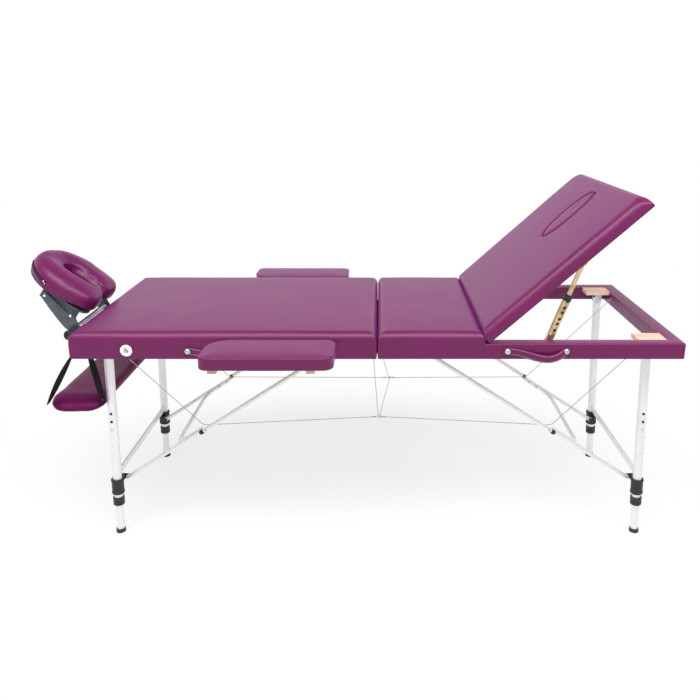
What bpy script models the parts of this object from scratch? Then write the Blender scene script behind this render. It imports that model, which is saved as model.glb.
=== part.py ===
"""Portable massage table: two hinged halves on folding aluminium legs, a lifting backrest,
a tilting face cradle, side armrests and a hanging arm sling.

Frame of reference: +Z up, floor at z = 0, +X towards the backrest end, the head end at -X.
Every length is in metres. Lengthways places are measured from the fold line between the two
halves, and FOLD_X puts that line where the footprint's middle falls on the origin.
SIDES holds -1 for the near side (-Y) and +1 for the far side; ENDS holds -1 for the head end.
"""

import math

import bmesh
import bpy
from mathutils import Matrix, Vector

# ---- the bed ----
FOLD_X = 0.1278
HALF_LENGTH = 0.93
HALF_WIDTH = 0.35
FRAME_BOTTOM = 0.659
RAIL_TOP = 0.7055
BED_TOP = 0.740
DECK = 0.005
GAP = 0.0003
RAIL_WIDTH = 0.040
BLOCK_X = 0.800
BLOCK_Y = 0.2445
COVER = 0.002
FOLD_CLEARANCE = 0.0015
SEAT_END = 0.3255
CUSHION_EDGE = 0.026

# ---- the backrest and its stays ----
BACKREST_PIVOT = Vector((0.338, 0, 0.7025))
BACKREST_LENGTH = 0.618
BACKREST_TILT = math.radians(42.5)
BOARD_UNDER = 0.0033
BOARD = 0.008
BACKREST_FOAM = 0.034
BACKREST_FRONT = 0.003
PLUG_CENTRE = 0.455
PLUG_LENGTH = 0.225
PLUG_WIDTH = 0.105
STRUT_Y = 0.293
STRUT_ALONG_BOARD = 0.3701
STRUT_BELOW_PIVOT_LINE = -0.0087
STRUT_FOOT = Vector((0.5257, 0, 0.690))
CHANNEL_LENGTH = 0.160
ROD_LENGTH = 0.150

# ---- the legs ----
LEG_Y = 0.261
FOOT_X = 0.873
SPLAY = math.atan(0.026 / 0.659)
LEG_PIVOT_Z = 0.672
LEG_RADIUS = 0.0145
LEG_WALL = 0.0015
LEG_OVERHANG = 0.009
EXTENSION_RADIUS = 0.0125
COLLAR_RADIUS = 0.0195
COLLAR = (0.148, 0.201)
END_RING = (0.106, 0.135)
CROSS_BAR = (0.203, 0.225)
BUTTON_Z = 0.385
HOLE_PITCH = 0.028
BUTTON_RADIUS = 0.0035
EXTENSION_TOP = 0.592
LUG_Z = 0.182
LUG_OFFSET = 0.018
LUG_Y = 0.2113

# ---- the folding stays ----
STAY_RADIUS = 0.007
UPPER_STAY_Y = 0.2385
LOWER_STAY_Y = 0.2225
SPREADER_Y = 0.2075
SPREADER_REACH = 0.11
STAY_TOP = Vector((0.0776, 0, 0.690))
CABLE_RADIUS = 0.0014
CABLE_RINGS = {-1: (0.0065, -0.2085, 0.400), 1: (0.046, 0.2085, 0.367)}
DROP_TOP_X = {-1: -0.016, 1: -0.034}

# ---- the face cradle ----
CRADLE_PIVOT = Vector((-1.000, 0, 0.686))
TILT_PIVOT = Vector((-1.089, 0, 0.795))
LINK_RIVET = Vector((-1.012, 0, 0.726))
CUSHION_CENTRE = Vector((-1.0504, 0, 0.825))
CUSHION_TILT = math.radians(36.5)
FACE_LENGTH = 0.29
FACE_WIDTH = 0.30
FACE_HEIGHT = 0.056
POST_Y = 0.10

# ---- armrests, handles and sling ----
ARMREST = ((-0.498, -0.372), (-0.120, -0.534))
ARMREST_Z = (0.692, 0.731)
ARMREST_BAR_X = (-0.459, -0.185)
HANDLE_SCREWS = (0.393, 0.570)
HANDLE_Z = 0.684
HANDLE_SAG = 0.021
SLING_X = (-1.044, -0.874)
SLING_Z = (0.468, 0.493)
SLING_HALF_LENGTH = 0.30

SIDES = {"near": -1, "far": 1}
ENDS = {"head": -1, "back": 1}

COLOURS = {
    "vinyl": ((0.27, 0.045, 0.17), 0.42, 0.0),
    "wood": ((0.72, 0.52, 0.36), 0.6, 0.0),
    "plywood": ((0.66, 0.50, 0.34), 0.65, 0.0),
    "aluminium": ((0.80, 0.80, 0.82), 0.35, 1.0),
    "steel": ((0.62, 0.62, 0.64), 0.3, 1.0),
    "gold_zinc": ((0.66, 0.50, 0.24), 0.35, 1.0),
    "black_plastic": ((0.03, 0.03, 0.032), 0.5, 0.0),
    "slate_plastic": ((0.10, 0.13, 0.14), 0.45, 0.0),
    "rubber": ((0.05, 0.05, 0.055), 0.8, 0.0),
    "webbing": ((0.02, 0.02, 0.022), 0.85, 0.0),
}


def clear_scene():
    for item in list(bpy.data.objects):
        bpy.data.objects.remove(item, do_unlink=True)


def new_collection(name):
    made = bpy.data.collections.new(name)
    bpy.context.scene.collection.children.link(made)
    return made


def new_material(name):
    colour, roughness, metallic = COLOURS[name]
    made = bpy.data.materials.new(name)
    made.use_nodes = True
    shader = made.node_tree.nodes["Principled BSDF"]
    shader.inputs["Base Color"].default_value = (*colour, 1.0)
    shader.inputs["Roughness"].default_value = roughness
    shader.inputs["Metallic"].default_value = metallic
    return made


clear_scene()
PARTS = new_collection("massage_table")
CUTTERS = new_collection("cutters")
MATERIALS = {name: new_material(name) for name in COLOURS}
BODIES = {}


def body(name, pivot, parent=None):
    """An empty on the joint's axis, which carries the pieces that move together."""
    empty = bpy.data.objects.new("body_" + name, None)
    PARTS.objects.link(empty)
    empty.matrix_world = Matrix.Translation(Vector(pivot) + Vector((FOLD_X, 0, 0)))
    if parent:
        empty.parent = BODIES[parent]
        empty.matrix_parent_inverse = Matrix.Translation(-BODIES[parent].matrix_world.translation)
    bpy.context.view_layer.update()
    BODIES[name] = empty
    return empty


def node(name, mesh, material, carrier):
    """One sub-part: a mesh drawn in fold-line places, carried by its body's empty."""
    mesh.transform(Matrix.Translation((FOLD_X, 0, 0)))
    made = bpy.data.objects.new(name, mesh)
    made.data.materials.append(MATERIALS[material])
    PARTS.objects.link(made)
    made.parent = BODIES[carrier]
    made.matrix_parent_inverse = Matrix.Translation(-BODIES[carrier].matrix_world.translation)
    return made


def cutter(name, mesh):
    mesh.transform(Matrix.Translation((FOLD_X, 0, 0)))
    made = bpy.data.objects.new(name, mesh)
    CUTTERS.objects.link(made)
    made.hide_render = True
    made.display_type = "WIRE"
    return made


def boolean(target, tool, operation):
    change = target.modifiers.new(tool.name, "BOOLEAN")
    change.object = tool
    change.operation = operation
    change.solver = "EXACT"


def bevel(target, width, segments=2):
    edge = target.modifiers.new("edges", "BEVEL")
    edge.width = width
    edge.segments = segments
    edge.limit_method = "ANGLE"
    edge.angle_limit = math.radians(40)


def finish(draft):
    """Closes a bmesh into a mesh with smooth round sides."""
    bmesh.ops.recalc_face_normals(draft, faces=draft.faces)
    mesh = bpy.data.meshes.new("shape")
    draft.to_mesh(mesh)
    draft.free()
    mesh.shade_smooth()
    mesh.set_sharp_from_angle(angle=math.radians(35))
    return mesh


def add_box(draft, low, high):
    low, high = Vector(low), Vector(high)
    size = Matrix.Diagonal((*(high - low), 1))
    bmesh.ops.create_cube(draft, size=1, matrix=Matrix.Translation((low + high) / 2) @ size)


def add_side_box(draft, side, x_range, y_range, z_range):
    """A box given by its distances from the centre line, on the near or far side."""
    y_low, y_high = sorted((side * y_range[0], side * y_range[1]))
    add_box(draft, (x_range[0], y_low, z_range[0]), (x_range[1], y_high, z_range[1]))


def add_rod(draft, start, end, radius, segments=16, capped=True):
    start, end = Vector(start), Vector(end)
    turn = (end - start).to_track_quat("Z", "Y").to_matrix().to_4x4()
    bmesh.ops.create_cone(
        draft, cap_ends=capped, segments=segments, radius1=radius, radius2=radius,
        depth=(end - start).length, matrix=Matrix.Translation((start + end) / 2) @ turn,
    )


def arc(centre, radius, start_degrees, end_degrees, steps=6):
    turns = [start_degrees + (end_degrees - start_degrees) * i / steps for i in range(steps + 1)]
    return [
        (centre[0] + radius * math.cos(math.radians(t)), centre[1] + radius * math.sin(math.radians(t)))
        for t in turns
    ]


def rounded_rectangle(low, high, radii, steps=6):
    """Counter-clockwise outline; radii run from the low-low corner."""
    (x0, y0), (x1, y1) = low, high
    r0, r1, r2, r3 = radii
    outline = arc((x0 + r0, y0 + r0), r0, 180, 270, steps)
    outline += arc((x1 - r1, y0 + r1), r1, 270, 360, steps)
    outline += arc((x1 - r2, y1 - r2), r2, 0, 90, steps)
    return outline + arc((x0 + r3, y1 - r3), r3, 90, 180, steps)


def stadium(p, q, radius, steps=6):
    """A link's outline: two round ends about p and q."""
    turn = math.degrees(math.atan2(q[1] - p[1], q[0] - p[0]))
    return arc(q, radius, turn - 90, turn + 90, steps) + arc(p, radius, turn + 90, turn + 270, steps)


def plate(outline, thickness, place):
    """A flat outline with thickness, as a mesh: its middle plane is moved by place."""
    curve = bpy.data.curves.new("outline", "CURVE")
    curve.dimensions = "2D"
    curve.fill_mode = "BOTH"
    curve.extrude = thickness / 2
    spline = curve.splines.new("POLY")
    spline.points.add(len(outline) - 1)
    for point, (x, y) in zip(spline.points, outline):
        point.co = (x, y, 0, 1)
    spline.use_cyclic_u = True
    return curve_mesh(curve, place)


def wire(points, radius, resolution=2):
    """A round bar or cable through the points, with filled ends, as a mesh."""
    curve = bpy.data.curves.new("wire", "CURVE")
    curve.dimensions = "3D"
    curve.bevel_depth = radius
    curve.bevel_resolution = resolution
    curve.use_fill_caps = True
    spline = curve.splines.new("POLY")
    spline.points.add(len(points) - 1)
    for point, place in zip(spline.points, points):
        point.co = (*place, 1)
    return curve_mesh(curve, Matrix.Identity(4))


def curve_mesh(curve, place):
    holder = bpy.data.objects.new("holder", curve)
    PARTS.objects.link(holder)
    bpy.context.view_layer.update()
    evaluated = holder.evaluated_get(bpy.context.evaluated_depsgraph_get())
    mesh = bpy.data.meshes.new_from_object(evaluated)
    draft = bmesh.new()
    draft.from_mesh(mesh)
    bmesh.ops.remove_doubles(draft, verts=draft.verts, dist=0.00001)
    draft.transform(place)
    bpy.data.objects.remove(holder)
    bpy.data.curves.remove(curve)
    return finish(draft)


def upright(y):
    """Turns a flat outline so that its x and y run along X and Z, at the given Y."""
    return Matrix.Translation((0, y, 0)) @ Matrix.Rotation(math.radians(90), 4, "X")


# ---- places worked out from the driving dimensions ----

def leg_pivot(end):
    return Vector((end * (FOOT_X - math.tan(SPLAY) * LEG_PIVOT_Z), 0, LEG_PIVOT_Z))


def leg_point(end, z, y=0.0):
    """The leg's centre line at a height above the floor."""
    return Vector((end * (FOOT_X - math.tan(SPLAY) * z), y, z))


def inboard(end):
    """Unit vector square to the leg, towards the fold line."""
    return Vector((-end * math.cos(SPLAY), 0, -math.sin(SPLAY)))


def lug_point(end, y=0.0):
    return leg_point(end, LUG_Z, y) + inboard(end) * LUG_OFFSET


def stay_top(end, y=0.0):
    return Vector((end * STAY_TOP.x, y, STAY_TOP.z))


def fold_geometry():
    """The leg's fold angle and the two stay lengths that lie flat when it is folded."""
    fold = math.pi / 2 + SPLAY
    pivot, lug, top = leg_pivot(1), lug_point(1), stay_top(1)
    arm = lug - pivot
    folded = pivot + Matrix.Rotation(fold, 3, "Y") @ arm
    long_way = (lug - top).length
    short_way = (folded - top).length
    return fold, (long_way + short_way) / 2, (long_way - short_way) / 2, folded


FOLD_ANGLE, UPPER_STAY, LOWER_STAY, FOLDED_LUG = fold_geometry()


def knee_point(end, y=0.0):
    way = (lug_point(end) - stay_top(end)).normalized()
    return stay_top(end, y) + way * UPPER_STAY


def strut_head():
    """The stay's upper pivot on the raised backrest."""
    turn = Matrix.Rotation(-BACKREST_TILT, 3, "Y")
    return BACKREST_PIVOT + turn @ Vector((STRUT_ALONG_BOARD, 0, STRUT_BELOW_PIVOT_LINE))


def raised(mesh):
    """Tilts a shape drawn with the backrest lying flat, about the backrest's hinge."""
    turn = Matrix.Rotation(-BACKREST_TILT, 4, "Y")
    mesh.transform(Matrix.Translation(BACKREST_PIVOT) @ turn @ Matrix.Translation(-BACKREST_PIVOT))
    return mesh


def cradle_place():
    """From the face cushion's own flat frame (x towards the table) to its tilted place."""
    return Matrix.Translation(CUSHION_CENTRE) @ Matrix.Rotation(CUSHION_TILT, 4, "Y")


# ---- bodies ----

def make_bodies():
    body("back_half", (0, 0, 0))
    body("head_half", (0, 0, FRAME_BOTTOM - 0.0035), "back_half")
    body("backrest", BACKREST_PIVOT, "back_half")
    body("face_plug", BACKREST_PIVOT, "backrest")
    body("strut_channels", STRUT_FOOT, "back_half")
    body("strut_rods", strut_head(), "strut_channels")
    for name, end in ENDS.items():
        half = name + "_half"
        body(name + "_legs", leg_pivot(end), half)
        body(name + "_upper_stays", stay_top(end), half)
        body(name + "_lower_stays", lug_point(end), name + "_legs")
        for side_name, side in SIDES.items():
            tag = f"{name}_{side_name}"
            body(tag + "_extension", leg_point(end, 0, side * LEG_Y), name + "_legs")
            body(tag + "_button", leg_point(end, BUTTON_Z, side * LEG_Y), name + "_legs")
    body("headrest_base", CRADLE_PIVOT, "head_half")
    body("headrest_arms", CRADLE_PIVOT, "headrest_base")
    body("headrest_platform", TILT_PIVOT, "headrest_arms")
    body("headrest_cam", CRADLE_PIVOT, "headrest_base")
    for side_name, side in SIDES.items():
        body(f"armrest_{side_name}", (ARMREST_BAR_X[0], side * HALF_WIDTH, ARMREST_Z[0]), "head_half")
    body("arm_sling", (-HALF_LENGTH, 0, FRAME_BOTTOM), "head_half")


# ---- frames, decks and cushions ----

def make_half_frame(name, end):
    """One glued timber frame: side rails, cross rails and the corner blocks over the legs.
    A thin batten carries the backrest's hinge, and leaves room under it for the folded legs."""
    inner = HALF_WIDTH - COVER - RAIL_WIDTH
    outer = HALF_WIDTH - COVER
    start, stop = FOLD_CLEARANCE + COVER / 2, HALF_LENGTH - COVER
    draft = bmesh.new()
    x0, x1 = sorted((end * start, end * stop))
    add_box(draft, (x0, -outer, FRAME_BOTTOM), (x1, outer, RAIL_TOP))
    frame = node(name + "_frame", finish(draft), "wood", name + "_half")

    window = bmesh.new()
    x0, x1 = sorted((end * (start + RAIL_WIDTH), end * (stop - RAIL_WIDTH)))
    add_box(window, (x0, -inner, FRAME_BOTTOM - 0.01), (x1, inner, RAIL_TOP + 0.01))
    boolean(frame, cutter(name + "_frame_window", finish(window)), "DIFFERENCE")

    blocks = bmesh.new()
    x_range = sorted((end * BLOCK_X, end * (stop - RAIL_WIDTH + 0.002)))
    for side in SIDES.values():
        add_side_box(blocks, side, x_range, (BLOCK_Y, inner + 0.002), (0.6915, RAIL_TOP - GAP))
    if end > 0:
        x_high = BACKREST_PIVOT.x - 0.005
        low, high = (x_high - RAIL_WIDTH, -inner - 0.002, 0.6985), (x_high, inner + 0.002, RAIL_TOP - GAP)
        add_box(blocks, low, high)
    boolean(frame, cutter(name + "_corner_blocks", finish(blocks)), "UNION")
    return frame


def make_deck_and_cushion(name, carrier, x_low, x_high):
    inset = 0.004
    deck_top = RAIL_TOP + GAP + DECK
    deck, cushion = bmesh.new(), bmesh.new()
    low = (x_low + inset, -HALF_WIDTH + inset, RAIL_TOP + GAP)
    add_box(deck, low, (x_high - inset, HALF_WIDTH - inset, deck_top))
    node(name + "_deck", finish(deck), "plywood", carrier)
    add_box(cushion, (x_low, -HALF_WIDTH, deck_top + GAP), (x_high, HALF_WIDTH, BED_TOP))
    mesh = finish(cushion)
    mark_edges_above(mesh, BED_TOP - 0.005)
    round_marked_edges(node(name + "_cushion", mesh, "vinyl", carrier), CUSHION_EDGE)


def mark_edges_above(mesh, floor_z):
    """Gives full bevel weight to the edges around the top only."""
    weights = mesh.attributes.new("bevel_weight_edge", "FLOAT", "EDGE")
    for edge in mesh.edges:
        lowest = min(mesh.vertices[i].co.z for i in edge.vertices)
        weights.data[edge.index].value = 1.0 if lowest > floor_z else 0.0


def round_marked_edges(cushion, width):
    edge = cushion.modifiers.new("edges", "BEVEL")
    edge.width = width
    edge.segments = 4
    edge.limit_method = "WEIGHT"


def make_leg_hinges(name, end):
    """A steel stirrup over each leg, with the pin that the leg turns on."""
    cheek = 0.0015
    reach = LEG_RADIUS + 0.0005
    x, z = leg_pivot(end).x, LEG_PIVOT_Z
    for side_name, side in SIDES.items():
        tag = f"{name}_{side_name}"
        draft, hollow, pin = bmesh.new(), bmesh.new(), bmesh.new()
        y_range = (LEG_Y - reach - cheek, LEG_Y + reach + cheek)
        add_side_box(draft, side, (x - 0.013, x + 0.013), y_range, (0.6605, 0.6912))
        add_side_box(hollow, side, (x - 0.02, x + 0.02), (LEG_Y - reach, LEG_Y + reach), (0.65, 0.6897))
        inner_end, outer_end = LEG_Y - reach - 0.001, LEG_Y + reach + 0.001
        add_rod(pin, (x, side * inner_end, z), (x, side * outer_end, z), 0.004, 12)
        bracket = node(tag + "_leg_hinge", finish(draft), "steel", name + "_half")
        boolean(bracket, cutter(tag + "_stirrup_hollow", finish(hollow)), "DIFFERENCE")
        boolean(bracket, cutter(tag + "_leg_pin", finish(pin)), "UNION")


def make_fold_hinge(name, end):
    """One leaf of the long hinge under the fold, with its share of the knuckles."""
    pin_z = FRAME_BOTTOM - 0.0035
    radius, knuckles, run = 0.003, 5, 0.60
    leaf_z = (FRAME_BOTTOM - 0.0019, FRAME_BOTTOM - GAP)
    draft = bmesh.new()
    x0, x1 = sorted((end * 0.0036, end * 0.036))
    add_box(draft, (x0, -run / 2, leaf_z[0]), (x1, run / 2, leaf_z[1]))
    leaf = node(f"fold_hinge_{name}_leaf", finish(draft), "steel", name + "_half")
    share = run / knuckles
    first = 0 if end < 0 else 1
    for count in range(first, knuckles, 2):
        low = -run / 2 + count * share + 0.0005
        high = low + share - 0.001
        knuckle = bmesh.new()
        add_rod(knuckle, (0, low, pin_z), (0, high, pin_z), radius, 12)
        boolean(leaf, cutter(f"{name}_knuckle_{count}", finish(knuckle)), "UNION")
        tab = bmesh.new()
        x0, x1 = sorted((0, end * 0.005))
        add_box(tab, (x0, low, leaf_z[0] + 0.0002), (x1, high, leaf_z[1] - 0.0003))
        boolean(leaf, cutter(f"{name}_tab_{count}", finish(tab)), "UNION")


def handle_strap(end):
    """A sewn carrying strap, held by a screw at each end, that sags and bows outwards."""
    middle = end * sum(HANDLE_SCREWS) / 2
    half_span = (HANDLE_SCREWS[1] - HANDLE_SCREWS[0]) / 2
    half_length = half_span + 0.016
    draft = bmesh.new()
    bmesh.ops.create_grid(draft, x_segments=20, y_segments=2, size=1)
    for vertex in draft.verts:
        along, across = vertex.co.x, vertex.co.y
        share = min(1.0, abs(along) * half_length / half_span)
        fall = 1 - share ** 2
        vertex.co = Vector((
            middle + along * half_length,
            -HALF_WIDTH - 0.0008 - 0.011 * fall ** 1.5,
            HANDLE_Z - HANDLE_SAG * fall + across * 0.012,
        ))
    mesh = bpy.data.meshes.new("strap")
    bmesh.ops.recalc_face_normals(draft, faces=draft.faces)
    draft.to_mesh(mesh)
    draft.free()
    return mesh


def make_handle(name, end):
    strap = node(name + "_handle_strap", handle_strap(end), "vinyl", name + "_half")
    wall = strap.modifiers.new("thickness", "SOLIDIFY")
    wall.thickness = 0.004
    outwards = strap.data.polygons[0].normal.y < 0
    wall.offset = 1.0 if outwards else -1.0


# ---- backrest ----

def make_backrest():
    half = HALF_WIDTH
    x0 = BACKREST_PIVOT.x + BACKREST_FRONT
    x1 = BACKREST_PIVOT.x + BACKREST_LENGTH
    board_low = BACKREST_PIVOT.z + BOARD_UNDER
    board_high = board_low + BOARD
    top = board_high + GAP + BACKREST_FOAM

    draft = bmesh.new()
    add_box(draft, (x0 + 0.004, -half + 0.004, board_low), (x1 - 0.004, half - 0.004, board_high))
    board = node("backrest_board", raised(finish(draft)), "plywood", "backrest")

    draft = bmesh.new()
    add_box(draft, (x0, -half, board_high + GAP), (x1, half, top))
    mesh = finish(draft)
    mark_edges_above(mesh, board_high + 0.01)
    cushion = node("backrest_cushion", raised(mesh), "vinyl", "backrest")
    round_marked_edges(cushion, CUSHION_EDGE)

    half_run = (PLUG_LENGTH - PLUG_WIDTH) / 2
    centre = BACKREST_PIVOT.x + PLUG_CENTRE
    ends = (centre - half_run, 0), (centre + half_run, 0)
    hole = plate(stadium(*ends, PLUG_WIDTH / 2, 10), 0.2, Matrix.Translation((0, 0, top)))
    hole_cutter = cutter("face_hole", raised(hole))
    boolean(board, hole_cutter, "DIFFERENCE")
    boolean(cushion, hole_cutter, "DIFFERENCE")

    thickness = top - board_low
    place = Matrix.Translation((0, 0, board_low + thickness / 2))
    plug = plate(stadium(*ends, PLUG_WIDTH / 2 - 0.0012, 10), thickness, place)
    node("face_plug", raised(plug), "vinyl", "face_plug")


def make_struts():
    """Zinc-plated stays: a folded channel with a slot, and the rod that slides in it."""
    foot, head = STRUT_FOOT, strut_head()
    way = (head - foot).normalized()
    base = Matrix.Translation(foot) @ Matrix.Rotation(-math.atan2(way.z, way.x), 4, "Y")
    reach = (head - foot).length
    y0, y1 = STRUT_Y - 0.0075, STRUT_Y + 0.0075
    for side_name, side in SIDES.items():
        channel, slots, rod = bmesh.new(), bmesh.new(), bmesh.new()
        add_side_box(channel, side, (-0.010, CHANNEL_LENGTH), (y0, y1), (-0.010, 0.010))
        y_hollow = (y0 + 0.0015, y1 - 0.0015)
        add_side_box(slots, side, (-0.0085, CHANNEL_LENGTH + 0.01), y_hollow, (-0.0085, 0.0085))
        y_through = (y0 - 0.01, y1 + 0.01)
        add_side_box(slots, side, (0.020, CHANNEL_LENGTH - 0.030), y_through, (-0.003, 0.003))
        y_rod = (STRUT_Y - 0.004, STRUT_Y + 0.004)
        add_side_box(rod, side, (reach - ROD_LENGTH, reach + 0.006), y_rod, (-0.006, 0.006))
        meshes = [finish(draft) for draft in (channel, slots, rod)]
        for mesh in meshes:
            mesh.transform(base)
        outer = node(f"strut_{side_name}_channel", meshes[0], "gold_zinc", "strut_channels")
        boolean(outer, cutter(f"strut_{side_name}_hollow", meshes[1]), "DIFFERENCE")
        node(f"strut_{side_name}_rod", meshes[2], "gold_zinc", "strut_rods")


# ---- legs ----

def make_legs(name, end):
    """The welded leg frame: two tubes, their hole rows and the flat bar between them."""
    draft, holes, bar = bmesh.new(), bmesh.new(), bmesh.new()
    pivot = leg_pivot(end)
    top = pivot + (leg_point(end, 1) - leg_point(end, 0)).normalized() * LEG_OVERHANG
    bottom = leg_point(end, END_RING[0] + 0.003)
    for side in SIDES.values():
        shift = Vector((0, side * LEG_Y, 0))
        add_rod(draft, bottom + shift, top + shift, LEG_RADIUS, 20, capped=False)
        add_rod(holes, pivot + shift * 0.9, pivot + shift * 1.1, 0.0045, 12)
        for row in (2, 1, 0, -1, -2, -3):
            centre = leg_point(end, BUTTON_Z + row * HOLE_PITCH, side * LEG_Y)
            radius = BUTTON_RADIUS + GAP if row == 0 else 0.003
            inner, outer = Vector((0, side * 0.008, 0)), Vector((0, side * 0.020, 0))
            add_rod(holes, centre + inner, centre + outer, radius, 10)
    frame = node(name + "_leg_frame", finish_open(draft), "aluminium", name + "_legs")
    tube_wall(frame)

    half_height = (CROSS_BAR[1] - CROSS_BAR[0]) / 2
    reach = LEG_Y - LEG_RADIUS + 0.0008
    add_box(bar, (-0.0025, -reach, -half_height), (0.0025, reach, half_height))
    bar_mesh = finish(bar)
    lean = Matrix.Rotation(-end * SPLAY, 4, "Y")
    bar_mesh.transform(Matrix.Translation(leg_point(end, sum(CROSS_BAR) / 2)) @ lean)
    boolean(frame, cutter(name + "_cross_bar", bar_mesh), "UNION")
    boolean(frame, cutter(name + "_leg_holes", finish(holes)), "DIFFERENCE")


def tube_wall(tube):
    wall = tube.modifiers.new("wall", "SOLIDIFY")
    wall.thickness = LEG_WALL
    wall.offset = -1
    wall.use_even_offset = True


def finish_open(draft):
    """As finish, for an open tube whose faces already point outwards."""
    mesh = bpy.data.meshes.new("tube")
    draft.to_mesh(mesh)
    draft.free()
    mesh.shade_smooth()
    return mesh


def make_collars(name, end):
    """The black collar near the foot of each outer tube. Its arm passes under the stays to
    an upright lug on their inner side, so that the folded leg lies clear of the upper stay."""
    axis = leg_point(end, LUG_Z)
    lug = lug_point(end)
    lean = Matrix.Translation(axis) @ Matrix.Rotation(-end * SPLAY, 4, "Y")
    for side_name, side in SIDES.items():
        tag = f"{name}_{side_name}"
        draft, arm, bore, pin = bmesh.new(), bmesh.new(), bmesh.new(), bmesh.new()
        low, high = (leg_point(end, z, side * LEG_Y) for z in COLLAR)
        add_rod(draft, low, high, COLLAR_RADIUS, 20)
        x_arm = sorted((end * 0.004, -end * 0.009))
        add_side_box(arm, side, x_arm, (LUG_Y - 0.003, LEG_Y - 0.008), (-0.008, 0.008))
        arm_mesh = finish(arm)
        arm_mesh.transform(lean)
        upright_lug = bmesh.new()
        x_lug = sorted((-end * 0.005, -end * (LUG_OFFSET + 0.006)))
        add_side_box(upright_lug, side, x_lug, (LUG_Y - 0.0028, LUG_Y + 0.0028), (-0.0075, 0.0075))
        lug_mesh = finish(upright_lug)
        lug_mesh.transform(lean)
        inner, outer = Vector((0, side * (LUG_Y + 0.001), 0)), Vector((0, side * 0.2152, 0))
        add_rod(pin, lug + inner, lug + outer, 0.0035, 10)
        low, high = (leg_point(end, z, side * LEG_Y) for z in (0.10, 0.25))
        add_rod(bore, low, high, LEG_RADIUS + GAP, 20)
        collar = node(tag + "_collar", finish(draft), "black_plastic", name + "_legs")
        boolean(collar, cutter(tag + "_arm", arm_mesh), "UNION")
        boolean(collar, cutter(tag + "_lug", lug_mesh), "UNION")
        boolean(collar, cutter(tag + "_lug_pin", finish(pin)), "UNION")
        boolean(collar, cutter(tag + "_collar_bore", finish(bore)), "DIFFERENCE")


def make_extension(name, end, side_name, side):
    """The sliding inner tube with its hole row, and the rubber foot under it."""
    carrier = f"{name}_{side_name}_extension"
    draft, holes = bmesh.new(), bmesh.new()
    low, high = (leg_point(end, z, side * LEG_Y) for z in (0.010, EXTENSION_TOP))
    add_rod(draft, low, high, EXTENSION_RADIUS, 20, capped=False)
    for row in range(7):
        centre = leg_point(end, BUTTON_Z + row * HOLE_PITCH, side * LEG_Y)
        inner, outer = Vector((0, side * 0.006, 0)), Vector((0, side * 0.018, 0))
        add_rod(holes, centre + inner, centre + outer, 0.0042, 10)
    tube = node(f"{name}_{side_name}_leg_extension", finish_open(draft), "aluminium", carrier)
    tube_wall(tube)
    boolean(tube, cutter(f"{name}_{side_name}_extension_holes", finish(holes)), "DIFFERENCE")

    foot_top = 0.013
    draft, bore = bmesh.new(), bmesh.new()
    foot = leg_point(end, 0, side * LEG_Y)
    bmesh.ops.create_cone(
        draft, cap_ends=True, segments=20, radius1=0.0158, radius2=0.0150, depth=foot_top,
        matrix=Matrix.Translation(foot + Vector((0, 0, foot_top / 2))),
    )
    low, high = (leg_point(end, z, side * LEG_Y) for z in (0.0095, 0.05))
    add_rod(bore, low, high, EXTENSION_RADIUS + GAP, 20)
    rubber = node(f"{name}_{side_name}_foot", finish(draft), "rubber", carrier)
    boolean(rubber, cutter(f"{name}_{side_name}_foot_bore", finish(bore)), "DIFFERENCE")


def make_button(name, end, side_name, side):
    centre = leg_point(end, BUTTON_Z, side * LEG_Y)
    inner, outer = Vector((0, side * 0.0129, 0)), Vector((0, side * 0.0168, 0))
    draft = bmesh.new()
    add_rod(draft, centre + inner, centre + outer, BUTTON_RADIUS, 12)
    node(f"{name}_{side_name}_leg_button", finish(draft), "steel", f"{name}_{side_name}_button")


def make_stays(name, end):
    """Upper stays from the deck, and the lower pair with the bent bar that ties them."""
    way = (knee_point(end) - lug_point(end)).normalized()
    for side_name, side in SIDES.items():
        y = side * UPPER_STAY_Y
        upper = bmesh.new()
        add_rod(upper, stay_top(end, y), knee_point(end, y), STAY_RADIUS, 14)
        node(f"{name}_{side_name}_upper_stay", finish(upper), "aluminium", name + "_upper_stays")

    corner = 0.045
    start = knee_point(end) - way * 0.004
    bend = arc((SPREADER_REACH - corner, -SPREADER_Y + corner), corner, -90, 0, 5)
    bend += arc((SPREADER_REACH - corner, SPREADER_Y - corner), corner, 0, 90, 5)
    points = [start + Vector((0, -SPREADER_Y, 0))]
    points += [start - way * along + Vector((0, across, 0)) for along, across in bend]
    points.append(start + Vector((0, SPREADER_Y, 0)))
    frame = node(name + "_lower_stay_frame", wire(points, STAY_RADIUS, 3), "aluminium", name + "_lower_stays")
    for side_name, side in SIDES.items():
        y = side * LOWER_STAY_Y
        lower = bmesh.new()
        add_rod(lower, lug_point(end, y), knee_point(end, y), STAY_RADIUS, 14)
        boolean(frame, cutter(f"{name}_{side_name}_lower_stay", finish(lower)), "UNION")
        rivets = bmesh.new()
        for along in (0.014, 0.050):
            place = knee_point(end) - way * along
            inner, outer = side * (SPREADER_Y + 0.003), side * (LOWER_STAY_Y - 0.003)
            add_rod(rivets, place + Vector((0, inner, 0)), place + Vector((0, outer, 0)), 0.003, 10)
        boolean(frame, cutter(f"{name}_{side_name}_rivets", finish(rivets)), "UNION")


def cable_route(end, side):
    """From the end rail, over the knee, to the ring under the fold. The head end's cable
    stops just short of the ring, where the back end's cable passes."""
    y = side * (SPREADER_Y + 0.001)
    inner_face = HALF_LENGTH - COVER - RAIL_WIDTH
    anchor = Vector((end * (inner_face - CABLE_RADIUS - GAP), y, 0.690))
    knee = knee_point(end, y) + Vector((0, 0, 0.0105))
    ring = Vector(CABLE_RINGS[side])
    if end < 0:
        ring.x -= 0.0035
    return [anchor, knee, ring]


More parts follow.
